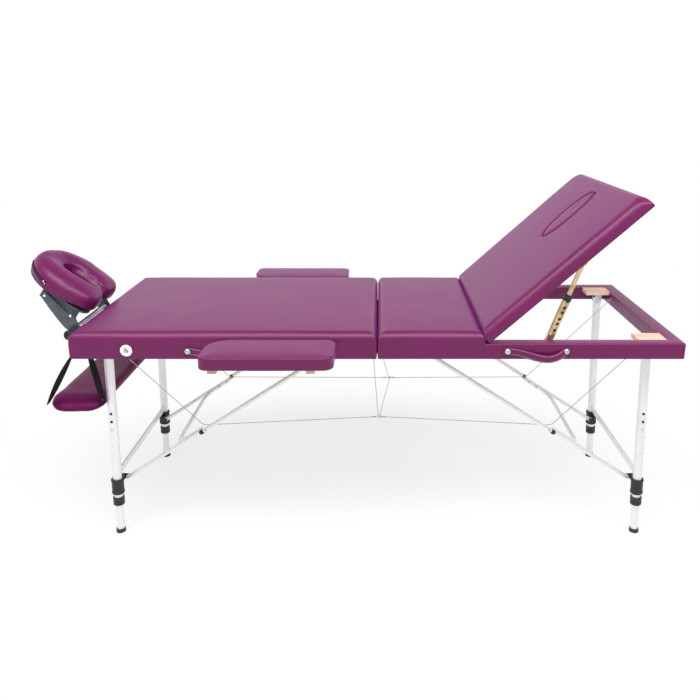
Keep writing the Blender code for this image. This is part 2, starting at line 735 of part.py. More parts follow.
def make_cables():
    """Thin steel bracing cables. The back half's pair runs on as one cable across the middle.
    A drop cable hangs from the head half's hinge leaf to each ring."""
    for side_name, side in SIDES.items():
        route = cable_route(-1, side)
        cable = node(f"head_{side_name}_cable", wire(route, CABLE_RADIUS), "steel", "head_half")
        top = (DROP_TOP_X[side], route[-1].y, FRAME_BOTTOM - 0.0035)
        drop = wire([top, route[-1]], CABLE_RADIUS)
        boolean(cable, cutter(f"drop_cable_{side_name}", drop), "UNION")
    whole = cable_route(1, -1) + list(reversed(cable_route(1, 1)))
    node("back_cables", wire(whole, CABLE_RADIUS), "steel", "back_half")


# ---- face cradle ----

def horseshoe(length, width, opening, gap, steps=10):
    """A cushion outline open towards the table: outer arc, two arms and the face opening."""
    outer, inner = width / 2, opening / 2
    back = -length / 2 + outer
    tip = length / 2
    lip = (outer - gap / 2) / 2
    outline = arc((back, 0), outer, 90, 270, steps * 2)
    outline += arc((tip - lip, -outer + lip), lip, 270, 450, steps)
    outline += [(back + inner * 1.15, -gap / 2)]
    outline += reversed(arc((back, 0), inner, 35, 325, steps * 2))
    outline += [(back + inner * 1.15, gap / 2)]
    outline += arc((tip - lip, outer - lip), lip, 270, 450, steps)
    return outline


def make_cradle():
    place = cradle_place()
    cushion = plate(horseshoe(FACE_LENGTH, FACE_WIDTH, 0.13, 0.034), FACE_HEIGHT, place)
    node("face_cushion", cushion, "vinyl", "headrest_platform")

    drop = -FACE_HEIGHT / 2 - GAP - 0.003
    under = plate(horseshoe(0.25, 0.25, 0.14, 0.09), 0.006, place @ Matrix.Translation((0, 0, drop)))
    flanges = bmesh.new()
    for side in SIDES.values():
        add_side_box(flanges, side, (-0.030, 0.104), (0.1150, 0.1200), (-0.062, drop - 0.001))
    flange_mesh = finish(flanges)
    flange_mesh.transform(place)
    platform = node("headrest_plate", under, "slate_plastic", "headrest_platform")
    boolean(platform, cutter("headrest_flanges", flange_mesh), "UNION")

    shaft_hole, tie = bmesh.new(), bmesh.new()
    x, z = TILT_PIVOT.x, TILT_PIVOT.z
    add_rod(shaft_hole, (x, -0.13, z), (x, 0.13, z), 0.0060, 16)
    add_rod(tie, (x, -0.1275, z), (x, 0.1275, z), 0.0052, 16)
    boolean(platform, cutter("tilt_shaft_hole", finish(shaft_hole)), "DIFFERENCE")

    a, b, c = ((p.x, p.z) for p in (TILT_PIVOT, LINK_RIVET, CRADLE_PIVOT))
    arms = node("headrest_arms", finish(tie), "slate_plastic", "headrest_arms")
    for side_name, side in SIDES.items():
        arm = plate(stadium(c, a, 0.0115), 0.006, upright(side * 0.1265))
        link = plate(stadium(c, b, 0.0100), 0.0058, upright(side * 0.1265))
        boolean(arms, cutter(f"cradle_{side_name}_arm", arm), "UNION")
        boolean(arms, cutter(f"cradle_{side_name}_link", link), "UNION")

    shaft = bmesh.new()
    x, z = CRADLE_PIVOT.x, CRADLE_PIVOT.z
    add_rod(shaft, (x, -0.1225, z), (x, 0.1225, z), 0.009, 16)
    posts = node("headrest_posts", finish(shaft), "aluminium", "headrest_base")
    rods = bmesh.new()
    for side in SIDES.values():
        add_rod(rods, (x, side * POST_Y, z - 0.003), (-0.893, side * POST_Y, z - 0.003), 0.005, 12)
    boolean(posts, cutter("headrest_post_rods", finish(rods)), "UNION")

    outline = stadium((x, z), (x - 0.026, z - 0.030), 0.012)
    lever = plate(outline, 0.012, upright(-0.1375))
    node("headrest_cam", lever, "black_plastic", "headrest_cam")


def post_holes():
    """The bores in the head rail that the face cradle's posts slide into."""
    bore = bmesh.new()
    z = CRADLE_PIVOT.z - 0.003
    for side in SIDES.values():
        add_rod(bore, (-0.96, side * POST_Y, z), (-0.87, side * POST_Y, z), 0.0056, 12)
    return cutter("post_holes", finish(bore))


# ---- armrests and sling ----

def make_armrests(frame):
    """Padded armrests on wooden ladders of two bars, which plug into slots in the frame."""
    slots = bmesh.new()
    (x0, y_in), (x1, y_out) = ARMREST
    bar_z = (ARMREST_Z[0] - 0.012, ARMREST_Z[0] - GAP)
    for side_name, side in SIDES.items():
        outline = rounded_rectangle((x0, y_out), (x1, y_in), (0.018, 0.018, 0.030, 0.070))
        place = Matrix.Translation((0, 0, sum(ARMREST_Z) / 2))
        if side > 0:
            outline = [(x, -y) for x, y in reversed(outline)]
        pad = plate(outline, ARMREST_Z[1] - ARMREST_Z[0], place)
        node(f"armrest_{side_name}_pad", pad, "vinyl", f"armrest_{side_name}")
        batten, bars = bmesh.new(), bmesh.new()
        add_side_box(batten, side, ARMREST_BAR_X, (0.430, 0.460), (bar_z[0] + 0.001, bar_z[1]))
        ladder = node(f"armrest_{side_name}_bars", finish(batten), "wood", f"armrest_{side_name}")
        for x in ARMREST_BAR_X:
            add_side_box(bars, side, (x - 0.012, x + 0.012), (0.286, 0.522), (bar_z[0], bar_z[1] - 0.0002))
            slot_z = (bar_z[0] - 0.001, bar_z[1] + 0.001)
            add_side_box(slots, side, (x - 0.0130, x + 0.0130), (0.300, 0.360), slot_z)
        boolean(ladder, cutter(f"armrest_{side_name}_bar_pair", finish(bars)), "UNION")
    boolean(frame, cutter("armrest_slots", finish(slots)), "DIFFERENCE")


def band(points, thickness):
    """The outline of a strap seen from its edge, along a bent line of points."""
    places = [Vector(p) for p in points]
    left, right = [], []
    for i, place in enumerate(places):
        before = (place - places[i - 1]).normalized() if i else None
        after = (places[i + 1] - place).normalized() if i + 1 < len(places) else None
        way = ((before or after) + (after or before)).normalized()
        square = Vector((-way.y, way.x))
        lean = max(0.5, square.dot(Vector((-(after or before).y, (after or before).x))))
        left.append(tuple(place + square * thickness / 2 / lean))
        right.append(tuple(place - square * thickness / 2 / lean))
    return left + list(reversed(right))


def make_sling():
    """The padded arm sling, hung on a webbing strap under each end."""
    outline = rounded_rectangle(
        (SLING_X[0], -SLING_HALF_LENGTH), (SLING_X[1], SLING_HALF_LENGTH), (0.045,) * 4,
    )
    place = Matrix.Translation((0, 0, sum(SLING_Z) / 2))
    node("sling_pad", plate(outline, SLING_Z[1] - SLING_Z[0], place), "vinyl", "arm_sling")
    under = SLING_Z[0] - 0.0014
    outer, inner = SLING_X[0] - 0.0025, SLING_X[1] + 0.0025
    route = [(-0.9345, 0.660), (outer, 0.499), (outer, under)]
    route += [(inner, under), (inner, 0.499), (-0.8985, 0.655)]
    for side_name, side in SIDES.items():
        strap = plate(band(route, 0.002), 0.022, upright(side * 0.285))
        node(f"sling_{side_name}_strap", strap, "webbing", "arm_sling")


def make_table():
    make_bodies()
    head_frame = make_half_frame("head", -1)
    make_half_frame("back", 1)
    make_deck_and_cushion("head", "head_half", -HALF_LENGTH, -FOLD_CLEARANCE)
    make_deck_and_cushion("seat", "back_half", FOLD_CLEARANCE, SEAT_END)
    for name, end in ENDS.items():
        make_leg_hinges(name, end)
        make_fold_hinge(name, end)
        make_handle(name, end)
        make_legs(name, end)
        make_collars(name, end)
        make_stays(name, end)
        for side_name, side in SIDES.items():
            make_extension(name, end, side_name, side)
            make_button(name, end, side_name, side)
    make_cables()
    make_backrest()
    make_struts()
    make_cradle()
    boolean(head_frame, post_holes(), "DIFFERENCE")
    make_armrests(head_frame)
    make_sling()


make_table()
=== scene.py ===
"""The looks of a portable massage table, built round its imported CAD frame.

Places come from the frame's own boxes and from the driving lengths below, in metres: +Z up,
floor at z = 0, +X towards the backrest end, near side at -Y. Lengthways places are measured
from the fold line between the two halves, and shaped() and at() move them into the frame.
"""

import math

import bmesh
import bpy
from mathutils import Matrix, Vector, noise
from mathutils.bvhtree import BVHTree


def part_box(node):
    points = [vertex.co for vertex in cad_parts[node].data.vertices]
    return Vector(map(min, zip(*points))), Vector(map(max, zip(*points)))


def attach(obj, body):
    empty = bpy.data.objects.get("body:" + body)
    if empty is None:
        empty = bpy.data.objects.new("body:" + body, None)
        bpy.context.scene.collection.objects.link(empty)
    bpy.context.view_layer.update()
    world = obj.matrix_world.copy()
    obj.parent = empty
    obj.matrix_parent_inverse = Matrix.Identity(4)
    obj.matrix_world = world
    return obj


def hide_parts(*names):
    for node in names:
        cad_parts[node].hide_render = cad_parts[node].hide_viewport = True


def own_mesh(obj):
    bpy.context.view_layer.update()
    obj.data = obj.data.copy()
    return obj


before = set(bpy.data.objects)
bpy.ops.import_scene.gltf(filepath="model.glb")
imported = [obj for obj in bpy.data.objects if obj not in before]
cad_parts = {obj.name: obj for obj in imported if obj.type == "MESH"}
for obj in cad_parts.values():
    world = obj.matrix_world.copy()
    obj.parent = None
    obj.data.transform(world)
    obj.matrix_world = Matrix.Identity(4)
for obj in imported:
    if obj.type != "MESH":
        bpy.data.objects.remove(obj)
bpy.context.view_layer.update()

# ---- driving lengths, as in the CAD ----
HEAD_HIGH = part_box("head_cushion")[1]
FOLD = (HEAD_HIGH.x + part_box("seat_cushion")[0].x) / 2
BED_TOP = HEAD_HIGH.z
HALF_WIDTH = HEAD_HIGH.y
RAIL_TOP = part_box("head_deck")[0].z - 0.0003
FRAME_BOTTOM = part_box("back_frame")[0].z
DECK_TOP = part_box("head_deck")[1].z
EDGE = 0.026
SIDES = {"near": -1, "far": 1}
ENDS = {"head": -1, "back": 1}
SLOTS = {
    "vinyl": "vinyl", "wood": "wood", "aluminium": "aluminium", "steel": "steel", "cable": "steel",
    "gold_zinc": "gold_zinc", "black_plastic": "black_plastic", "slate_plastic": "slate_plastic",
    "webbing": "webbing",
}

FOOT_X = 0.873
LEG_Y = 0.261
LEG_PIVOT_Z = 0.672
LEG_RADIUS = 0.0145
SPLAY = math.atan(0.026 / 0.659)
STAY_TOP = (0.0776, 0.690)
STAY_RADIUS = 0.007
UPPER_STAY_Y = 0.2385
SPREADER_Y = 0.2075
LUG_Z = 0.182
LUG_OFFSET = 0.018

BACKREST_PIVOT = Vector((0.338, 0, 0.7025))
BACKREST_TILT = math.radians(42.5)
BACKREST_X = (0.341, 0.956)
BOARD_Z = (0.7058, 0.7138)
BACKREST_TOP = 0.7481
PLUG_CENTRE_X = 0.793
PLUG_HALF = (0.1119, 0.0505)
STRUT_Y = 0.293
STRUT_FOOT = Vector((0.5257, 0, 0.690))
STRUT_HEAD = Vector((0.6167, 0, 0.9461))
CHANNEL_LENGTH = 0.160

CRADLE_PIVOT = Vector((-1.000, 0, 0.686))
TILT_PIVOT = Vector((-1.089, 0, 0.795))
LINK_RIVET = Vector((-1.012, 0, 0.726))
CUSHION_CENTRE = Vector((-1.0504, 0, 0.825))
CUSHION_TILT = math.radians(36.5)
CUSHION_BASE = -0.0243
CUSHION_BACK = 0.012

SLING_X = (-1.044, -0.874)
SLING_HALF = 0.30
SLING_Z = (0.468, 0.493)

FOLD_PIN_Z = 0.6555
WIRE_RADIUS = 0.00135
CABLE_RING = {-1: Vector((0.0065, -0.2085, 0.400)), 1: Vector((0.046, 0.2085, 0.367))}
DROP_TOP_X = {-1: -0.016, 1: -0.034}
CABLE_NODES = {
    ("head", "near"): ["head_near_cable"], ("head", "far"): ["head_far_cable"],
    ("back", "near"): ["back_cables"],
}

SCENE = bpy.context.scene


def at(x, y, z):
    """A place measured from the fold line, moved into the frame."""
    return Vector((FOLD + x, y, z))


SHIFT = Matrix.Translation((FOLD, 0, 0))


# ---- camera, light and floor ----

def place_camera():
    data = bpy.data.cameras.new("camera")
    data.lens = 35.63
    data.sensor_width = 36
    data.shift_x = -0.0430
    data.shift_y = -0.0714
    camera = bpy.data.objects.new("camera", data)
    camera.location = (0.1368, -2.312, 1.411)
    camera.rotation_euler = (math.radians(73.88), 0, 0)
    SCENE.collection.objects.link(camera)
    SCENE.camera = camera


def add_light(name, place, aim, size, power, colour=(1, 1, 1)):
    """An area lamp that lights the table but isn't seen itself."""
    data = bpy.data.lights.new(name, "AREA")
    data.shape = "RECTANGLE"
    data.size, data.size_y = size
    data.energy = power
    data.color = colour
    lamp = bpy.data.objects.new(name, data)
    lamp.location = place
    lamp.rotation_euler = (Vector(aim) - Vector(place)).to_track_quat("-Z", "Y").to_euler()
    lamp.visible_camera = False
    SCENE.collection.objects.link(lamp)


def light_studio():
    """A white backdrop for the camera; surfaces see a bright band in front and one behind."""
    world = bpy.data.worlds.new("studio")
    world.use_nodes = True
    tree = world.node_tree
    place = add(tree, "ShaderNodeTexCoord")
    split = add(tree, "ShaderNodeSeparateXYZ", Vector=place.outputs["Generated"])
    behind = ramp(tree, split.outputs["Z"], [
        (0.0, (0.90, 0.90, 0.91)), (0.34, (0.90, 0.89, 0.92)),
        (0.56, (0.40, 0.40, 0.42)), (1.0, (0.30, 0.30, 0.32))])
    before = ramp(tree, split.outputs["Z"], [
        (0.0, (0.42, 0.42, 0.42)), (0.28, (0.38, 0.38, 0.38)), (0.48, (0.84, 0.80, 0.84)),
        (0.86, (0.84, 0.80, 0.84)), (1.0, (0.30, 0.30, 0.32))])
    side = add(tree, "ShaderNodeMapRange", Value=split.outputs["Y"], From_Min=-0.25, From_Max=0.35)
    sky = mixed(tree, side.outputs["Result"], before, behind)
    seen = add(tree, "ShaderNodeLightPath").outputs["Is Camera Ray"]
    feed(tree, tree.nodes["Background"], Color=mixed(tree, seen, sky, (1, 1, 1, 1)), Strength=1.12)
    SCENE.world = world
    SCENE.view_settings.view_transform = "Standard"
    add_light("overhead", (0.1, -1.30, 3.0), (0.1, -0.20, 0.7), (4.4, 1.4), 110, (1.0, 0.94, 1.0))
    add_light("front", (0.1, -4.2, 1.5), (0.1, 0.0, 0.5), (4.6, 1.4), 6)


def lay_floor():
    draft = bmesh.new()
    bmesh.ops.create_grid(draft, x_segments=12, y_segments=12, size=14)
    mesh = bpy.data.meshes.new("floor")
    draft.to_mesh(mesh)
    draft.free()
    floor = bpy.data.objects.new("floor", mesh)
    floor.location.z = -0.0004
    SCENE.collection.objects.link(floor)
    floor.data.materials.append(floor_material())


# ---- materials ----

def fresh(name):
    made = bpy.data.materials.new(name)
    made.use_nodes = True
    tree = made.node_tree
    return made, tree, tree.nodes["Principled BSDF"]


def add(tree, kind, settings=None, **inputs):
    """A shader node with its settings and its inputs."""
    made = tree.nodes.new(kind)
    for key, value in (settings or {}).items():
        setattr(made, key, value)
    feed(tree, made, **inputs)
    return made


def feed(tree, node, **inputs):
    """Fills a node's inputs, named with _ for a space: a socket is linked, a value is set."""
    for key, value in inputs.items():
        put(tree, node.inputs[key.replace("_", " ")], value)


def put(tree, socket, value):
    if isinstance(value, bpy.types.NodeSocket):
        tree.links.new(value, socket)
    else:
        socket.default_value = value


def stretched(tree, scale):
    """Object coordinates in metres, scaled by axis."""
    place = add(tree, "ShaderNodeTexCoord")
    return add(tree, "ShaderNodeMapping", Vector=place.outputs["Object"], Scale=scale).outputs[0]


def ramp(tree, factor, stops):
    made = add(tree, "ShaderNodeValToRGB", Fac=factor)
    band = made.color_ramp
    while len(band.elements) < len(stops):
        band.elements.new(0.5)
    for element, (place, colour) in zip(band.elements, stops):
        element.position = place
        element.color = (*colour, 1)
    return made.outputs["Color"]


def noise_of(tree, vector, scale, detail=2.0, rough=0.5):
    made = add(tree, "ShaderNodeTexNoise", Vector=vector, Scale=scale, Detail=detail, Roughness=rough)
    return made.outputs["Fac"]


def bands(tree, direction, vector, scale, distortion, detail):
    return add(
        tree, "ShaderNodeTexWave", {"wave_type": "BANDS", "bands_direction": direction},
        Vector=vector, Scale=scale, Distortion=distortion, Detail=detail,
    ).outputs["Fac"]


def number_ramp(tree, factor, low, high):
    return add(tree, "ShaderNodeMapRange", Value=factor, To_Min=low, To_Max=high).outputs["Result"]


def bump(tree, height, strength, distance, under=None):
    made = add(tree, "ShaderNodeBump", Height=height, Strength=strength, Distance=distance)
    if under is not None:
        feed(tree, made, Normal=under)
    return made.outputs["Normal"]


def mixed(tree, factor, first, second):
    """A colour between two, by a factor."""
    made = add(tree, "ShaderNodeMix", {"data_type": "RGBA"}, Factor=factor)
    put(tree, made.inputs[6], first)
    put(tree, made.inputs[7], second)
    return made.outputs[2]


def scaled(colour, factor):
    return tuple(c * factor for c in colour)


def vinyl_material(name, colour, worn, gloss=1.0):
    """Upholstery vinyl: pebbled grain, slow mottling, and a lighter colour on convex edges, partly rubbed
    wear and partly a painted highlight.
    """
    made, tree, shader = fresh(name)
    place = stretched(tree, (1, 1, 1))
    slow = noise_of(tree, place, 7.0, 3.0)
    base = ramp(tree, slow, [(0.3, scaled(colour, 0.93)), (0.72, scaled(colour, 1.07))])
    # Convex edges get the lighter colour: partly rubbed wear, partly a painted highlight on the rolled
    # edges.
    edges = add(tree, "ShaderNodeNewGeometry").outputs["Pointiness"]
    edge_wear_and_highlight = ramp(tree, edges, [(0.545, (0, 0, 0)), (0.66, (1, 1, 1))])
    cells = add(tree, "ShaderNodeTexVoronoi", Vector=place, Scale=620.0)
    pebbles = bump(tree, cells.outputs["Distance"], 0.22, 0.00035)
    grain = bump(tree, noise_of(tree, place, 1500.0, 3.0), 0.12, 0.0002, pebbles)
    feed(
        tree, shader, Base_Color=mixed(tree, edge_wear_and_highlight, base, (*worn, 1)),
        Normal=bump(tree, noise_of(tree, place, 22.0, 3.0), 0.10, 0.0035, grain),
        Roughness=number_ramp(tree, slow, 0.33, 0.42), Specular_IOR_Level=0.37 * gloss,
        Sheen_Weight=0.16 * gloss ** 2, Sheen_Tint=(1.0, 0.18, 1.0, 1), Sheen_Roughness=0.40,
        Coat_Weight=0.04, Coat_Roughness=0.22)
    return made


def metal_material(name, colours, roughness, scale, grain=(1, 1, 1), metallic=1.0):
    """Metal with a drawn or brushed grain and slight tarnish."""
    made, tree, shader = fresh(name)
    slow = noise_of(tree, stretched(tree, (1, 1, 1)), scale, 4.0)
    lines = noise_of(tree, stretched(tree, grain), 900.0)
    feed(
        tree, shader, Base_Color=ramp(tree, slow, [(0.35, colours[0]), (0.65, colours[1])]),
        Normal=bump(tree, lines, 0.15, 0.00012), Metallic=metallic,
        Roughness=number_ramp(tree, lines, roughness - 0.05, roughness + 0.08))
    return made


def plastic_material(name, colours, roughness, grain=900.0):
    """Moulded plastic, rubber or enamel, with a fine even texture."""
    made, tree, shader = fresh(name)
    place = stretched(tree, (1, 1, 1))
    fine = noise_of(tree, place, grain)
    slow = noise_of(tree, place, 40.0, 3.0)
    feed(
        tree, shader, Base_Color=ramp(tree, slow, [(0.3, colours[0]), (0.7, colours[1])]),
        Normal=bump(tree, fine, 0.25, 0.0001),
        Roughness=number_ramp(tree, fine, roughness - 0.05, roughness + 0.07))
    return made


def wood_material(name, colours, grain, scale):
    """Timber: long fibres along one axis with darker growth lines and open pores."""
    made, tree, shader = fresh(name)
    fibres = noise_of(tree, stretched(tree, grain), scale, 5.0, 0.6)
    rings = bands(tree, "Y", stretched(tree, grain), scale * 0.35, 5.0, 3.0)
    both = add(tree, "ShaderNodeMath", {"operation": "MULTIPLY"})
    put(tree, both.inputs[0], fibres)
    put(tree, both.inputs[1], rings)
    pores = noise_of(tree, stretched(tree, tuple(6 * g for g in grain)), scale * 6)
    feed(
        tree, shader, Base_Color=ramp(tree, both.outputs[0], [(0.08, colours[0]), (0.45, colours[1])]),
        Normal=bump(tree, pores, 0.2, 0.0003), Roughness=number_ramp(tree, fibres, 0.5, 0.68))
    return made


def webbing_material(name, colour):
    """Woven webbing: ribs across the strap and a fine twill."""
    made, tree, shader = fresh(name)
    place = stretched(tree, (1, 1, 1))
    ribs = bands(tree, "Z", place, 280.0, 0.4, 1.0)
    warp = bands(tree, "Y", place, 420.0, 0.3, 1.0)
    stops = [(0.2, scaled(colour, 0.6)), (0.9, scaled(colour, 1.7))]
    feed(
        tree, shader, Base_Color=ramp(tree, ribs, stops), Roughness=0.85, Specular_IOR_Level=0.25,
        Normal=bump(tree, warp, 0.4, 0.0004, bump(tree, ribs, 0.5, 0.0005)))
    return made


def floor_material():
    """A pale floor: a diffuse part that takes the table's real soft shadow, mixed with a painted white
    glow that is weaker by the table and fades the floor out to the backdrop's white.
    """
    made, tree, shader = fresh("floor")
    slow = noise_of(tree, stretched(tree, (1, 1, 1)), 1.5)
    stops = [(0.3, (0.925, 0.925, 0.925)), (0.7, (0.935, 0.935, 0.935))]
    feed(tree, shader, Base_Color=ramp(tree, slow, stops), Roughness=0.9, Specular_IOR_Level=0.1)
    near = stretched(tree, (0.72, 1.0, 1.0))
    away = add(tree, "ShaderNodeVectorMath", {"operation": "LENGTH"}, Vector=near)
    # Painted light: the floor glows white, at 0.68 strength by the table and in full further out.
    painted_glow_share = add(
        tree, "ShaderNodeMapRange", {"interpolation_type": "SMOOTHSTEP"},
        Value=away.outputs["Value"], From_Min=0.55, From_Max=1.25, To_Min=0.68, To_Max=1.0)
    glow = add(tree, "ShaderNodeEmission", Color=(1, 1, 1, 1), Strength=1.0)
    mix = add(tree, "ShaderNodeMixShader", Fac=painted_glow_share.outputs["Result"])
    put(tree, mix.inputs[1], shader.outputs[0])
    put(tree, mix.inputs[2], glow.outputs[0])
    feed(tree, tree.nodes["Material Output"], Surface=mix.outputs[0])
    return made


def make_materials():
    plum = (0.124, 0.0040, 0.068)
    # worn: the lighter colour on convex edges, partly rubbed wear and partly a painted highlight.
    worn = (0.17, 0.014, 0.105)
    return {
        "vinyl": vinyl_material("plum_vinyl", plum, worn),
        # The sling pad's vinyl: the same plum darkened to 0.86 as painted shade for its place under the
        # table, and less glossy.
        "matt_painted_shade_vinyl": vinyl_material("matt_painted_shade_plum_vinyl", scaled(plum, 0.86), worn, 0.25),
        "aluminium": metal_material(
            "satin_aluminium", ((0.78, 0.785, 0.80), (0.86, 0.86, 0.87)), 0.40, 6.0, (1, 1, 0.03), 0.60),
        "cable": metal_material(
            "galvanised_cable", ((0.46, 0.46, 0.47), (0.60, 0.60, 0.61)), 0.40, 90.0),
        "steel": metal_material(
            "bright_steel", ((0.60, 0.61, 0.63), (0.74, 0.74, 0.75)), 0.27, 30.0),
        "gold_zinc": metal_material(
            "yellow_zinc", ((0.50, 0.37, 0.17), (0.74, 0.60, 0.36)), 0.27, 45.0, (1, 1, 0.2)),
        "wood": wood_material("poplar", ((0.62, 0.42, 0.30), (0.80, 0.60, 0.46)), (0.08, 1, 1), 60.0),
        "plywood": wood_material(
            "birch_plywood", ((0.58, 0.44, 0.29), (0.76, 0.62, 0.44)), (0.1, 1, 1), 40.0),
        "black_plastic": plastic_material(
            "black_plastic", ((0.007, 0.007, 0.008), (0.013, 0.013, 0.015)), 0.40),
        "slate_plastic": plastic_material(
            "slate_plastic", ((0.050, 0.066, 0.070), (0.075, 0.096, 0.10)), 0.45),
        "rubber": plastic_material(
            "rubber", ((0.020, 0.020, 0.021), (0.035, 0.035, 0.036)), 0.75, 500.0),
        "webbing": webbing_material("black_webbing", (0.0075, 0.0075, 0.0085)),
        "white_cap": plastic_material(
            "white_enamel", ((0.80, 0.82, 0.81), (0.88, 0.89, 0.88)), 0.28),
        "green_zinc": metal_material(
            "green_zinc", ((0.36, 0.44, 0.36), (0.56, 0.62, 0.54)), 0.30, 60.0),
        "thread": webbing_material("pale_thread", (0.50, 0.34, 0.44)),
        # The dark zip tape cloth, also laid on the strut's notches as painted shade.
        "zip_tape_and_notch_shade": webbing_material("zip_tape_and_notch_shade", (0.028, 0.010, 0.020)),
    }


# ---- mesh helpers ----

def mesh_of(draft, smooth=40):
    """Closes a bmesh into a smooth-shaded mesh with its faces outwards."""
    bmesh.ops.recalc_face_normals(draft, faces=draft.faces)
    mesh = bpy.data.meshes.new("shape")
    draft.to_mesh(mesh)
    draft.free()
    mesh.shade_smooth()
    mesh.set_sharp_from_angle(angle=math.radians(smooth))
    return mesh


def piece(name, mesh, material, body, stands_for=(), slot=None):
    """A finished piece in the frame: its material, its body and the CAD nodes it replaces."""
    made = bpy.data.objects.new(name, mesh)
    SCENE.collection.objects.link(made)
    made.data.materials.append(MATERIALS[material])
    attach(made, body)
    slot = SLOTS.get(material, slot)
    if stands_for:
        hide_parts(*stands_for)
    return made


def shaped(name, draft, material, body, smooth=40, stands_for=(), slot=None, place=SHIFT):
    """A piece from a draft that is measured from the fold line, or in its own place."""
    draft.transform(place)
    return piece(name, mesh_of(draft, smooth), material, body, stands_for, slot)


def smoother(made):
    """One level of subdivision, in views and in renders."""
    rounding = made.modifiers.new("round", "SUBSURF")
    rounding.levels = rounding.render_levels = 1


def loft(draft, rings, closed=True):
    """Joins rings of equal length with quads. A closed loft's last ring meets its first; an open
    one is capped."""
    rows = [[draft.verts.new(p) for p in ring] for ring in rings]
    pairs = list(zip(rows, rows[1:]))
    if closed:
        pairs.append((rows[-1], rows[0]))
    for a, b in pairs:
        for i in range(len(a)):
            j = (i + 1) % len(a)
            draft.faces.new((a[i], a[j], b[j], b[i]))
    if not closed:
        draft.faces.new(list(reversed(rows[0])))
        draft.faces.new(rows[-1])


def clamp(value):
    """A number held between 0 and 1."""
    return max(0.0, min(1.0, value))


def arc(centre, radius, start, end, steps):
    turns = [math.radians(start + (end - start) * i / steps) for i in range(steps + 1)]
    return [(centre[0] + radius * math.cos(t), centre[1] + radius * math.sin(t)) for t in turns]


def straight(p, q, count):
    """Points between two places, both ends left out."""
    return [
        (p[0] + (q[0] - p[0]) * i / count, p[1] + (q[1] - p[1]) * i / count) for i in range(1, count)
    ]


def rounded(low, high, radii, inset=0.0, counts=(8, 8), steps=6):
    """A rounded rectangle's outline, moved in by inset. Equal counts give rings that match."""
    x0, y0, x1, y1 = low[0] + inset, low[1] + inset, high[0] - inset, high[1] - inset
    r = [max(0.0015, radius - inset) for radius in radii]
    corners = [
        arc((x0 + r[0], y0 + r[0]), r[0], 180, 270, steps),
        arc((x1 - r[1], y0 + r[1]), r[1], 270, 360, steps),
        arc((x1 - r[2], y1 - r[2]), r[2], 0, 90, steps),
        arc((x0 + r[3], y1 - r[3]), r[3], 90, 180, steps),
    ]
    outline = []
    for i, corner in enumerate(corners):
        following = corners[(i + 1) % 4]
        outline += corner + straight(corner[-1], following[0], counts[i % 2])
    return outline


def roll(inset, top, radius, steps=7):
    """(inset, z) over a rounded edge, from the side up to the top."""
    turns = [math.pi / 2 * i / steps for i in range(steps + 1)]
    return [(inset + radius * (1 - math.cos(t)), top - radius * (1 - math.sin(t))) for t in turns]


def crown(x, y, low, high, height):
    """The gentle rise of stuffed foam towards the middle of a rectangle."""
    u = (2 * x - low[0] - high[0]) / (high[0] - low[0])
    v = (2 * y - low[1] - high[1]) / (high[1] - low[1])
    return height * max(0.0, 1 - u ** 4) * max(0.0, 1 - v ** 4)


def unrest(p, size, seed):
    """A small smooth wander, the same each run."""
    return noise.noise(Vector((p[0], p[1], p[2])) / size + Vector((seed, seed * 0.7, 0)))


def soften(draft, seed, amount=0.0007):
    """Hand-pulled unevenness of a stretched cover."""
    for vertex in draft.verts:
        co = vertex.co
        slow, quick = unrest(co, 0.16, seed), unrest(co, 0.055, seed + 4)
        co.z += amount * (slow + 0.5 * quick)
        co.y += amount * 0.6 * unrest(co, 0.10, seed + 9)


def lathe(draft, place, profile, segments=24, closed=False):
    """Turns (radius, height) about the local z axis; a zero radius closes the end."""
    turns = [2 * math.pi * i / segments for i in range(segments)]
    rows = []
    for radius, height in profile:
        if radius == 0:
            rows.append([draft.verts.new(place @ Vector((0, 0, height)))])
            continue
        ring = [place @ Vector((radius * math.cos(t), radius * math.sin(t), height)) for t in turns]
        rows.append([draft.verts.new(p) for p in ring])
    following = rows[1:] + (rows[:1] if closed else [])
    for a, b in zip(rows, following):
        for i in range(segments):
            j = (i + 1) % segments
            corners = [a[i % len(a)], a[j % len(a)], b[j % len(b)], b[i % len(b)]]
            draft.faces.new(list(dict.fromkeys(corners)))


def axis_place(origin, direction):
    """A place whose z axis runs along direction."""
    turn = Vector(direction).to_track_quat("Z", "Y").to_matrix().to_4x4()
    return Matrix.Translation(origin) @ turn


def turned(name, spots, profile, segments, material, body, smooth=40, slot=None, closed=False):
    """One piece made of turned parts, with one part at each (place, direction)."""
    draft = bmesh.new()
    for spot, direction in spots:
        lathe(draft, axis_place(spot, direction), profile, segments, closed)
    return shaped(name, draft, material, body, smooth, slot=slot)


def tube(draft, points, radius, segments=8, flat=1.0, across=None):
    """A round or flattened cord through points, with closed ends."""
    places = [Vector(p) for p in points]
    side = Vector(across or (0, 1, 0))
    rings = []
    for i, place in enumerate(places):
        way = (places[min(i + 1, len(places) - 1)] - places[max(i - 1, 0)]).normalized()
        square = way.cross(side)
        square = square.normalized() if square.length > 1e-6 else way.orthogonal().normalized()
        other = way.cross(square).normalized()
        turns = [2 * math.pi * k / segments for k in range(segments)]
        rings.append([
            place + square * math.cos(t) * radius * flat + other * math.sin(t) * radius for t in turns
        ])
    loft(draft, rings, closed=False)


def apply_modifiers(made):
    """Bakes a piece's modifiers into its mesh."""
    evaluated = made.evaluated_get(bpy.context.evaluated_depsgraph_get())
    mesh = bpy.data.meshes.new_from_object(evaluated)
    made.modifiers.clear()
    made.data = mesh
    return mesh


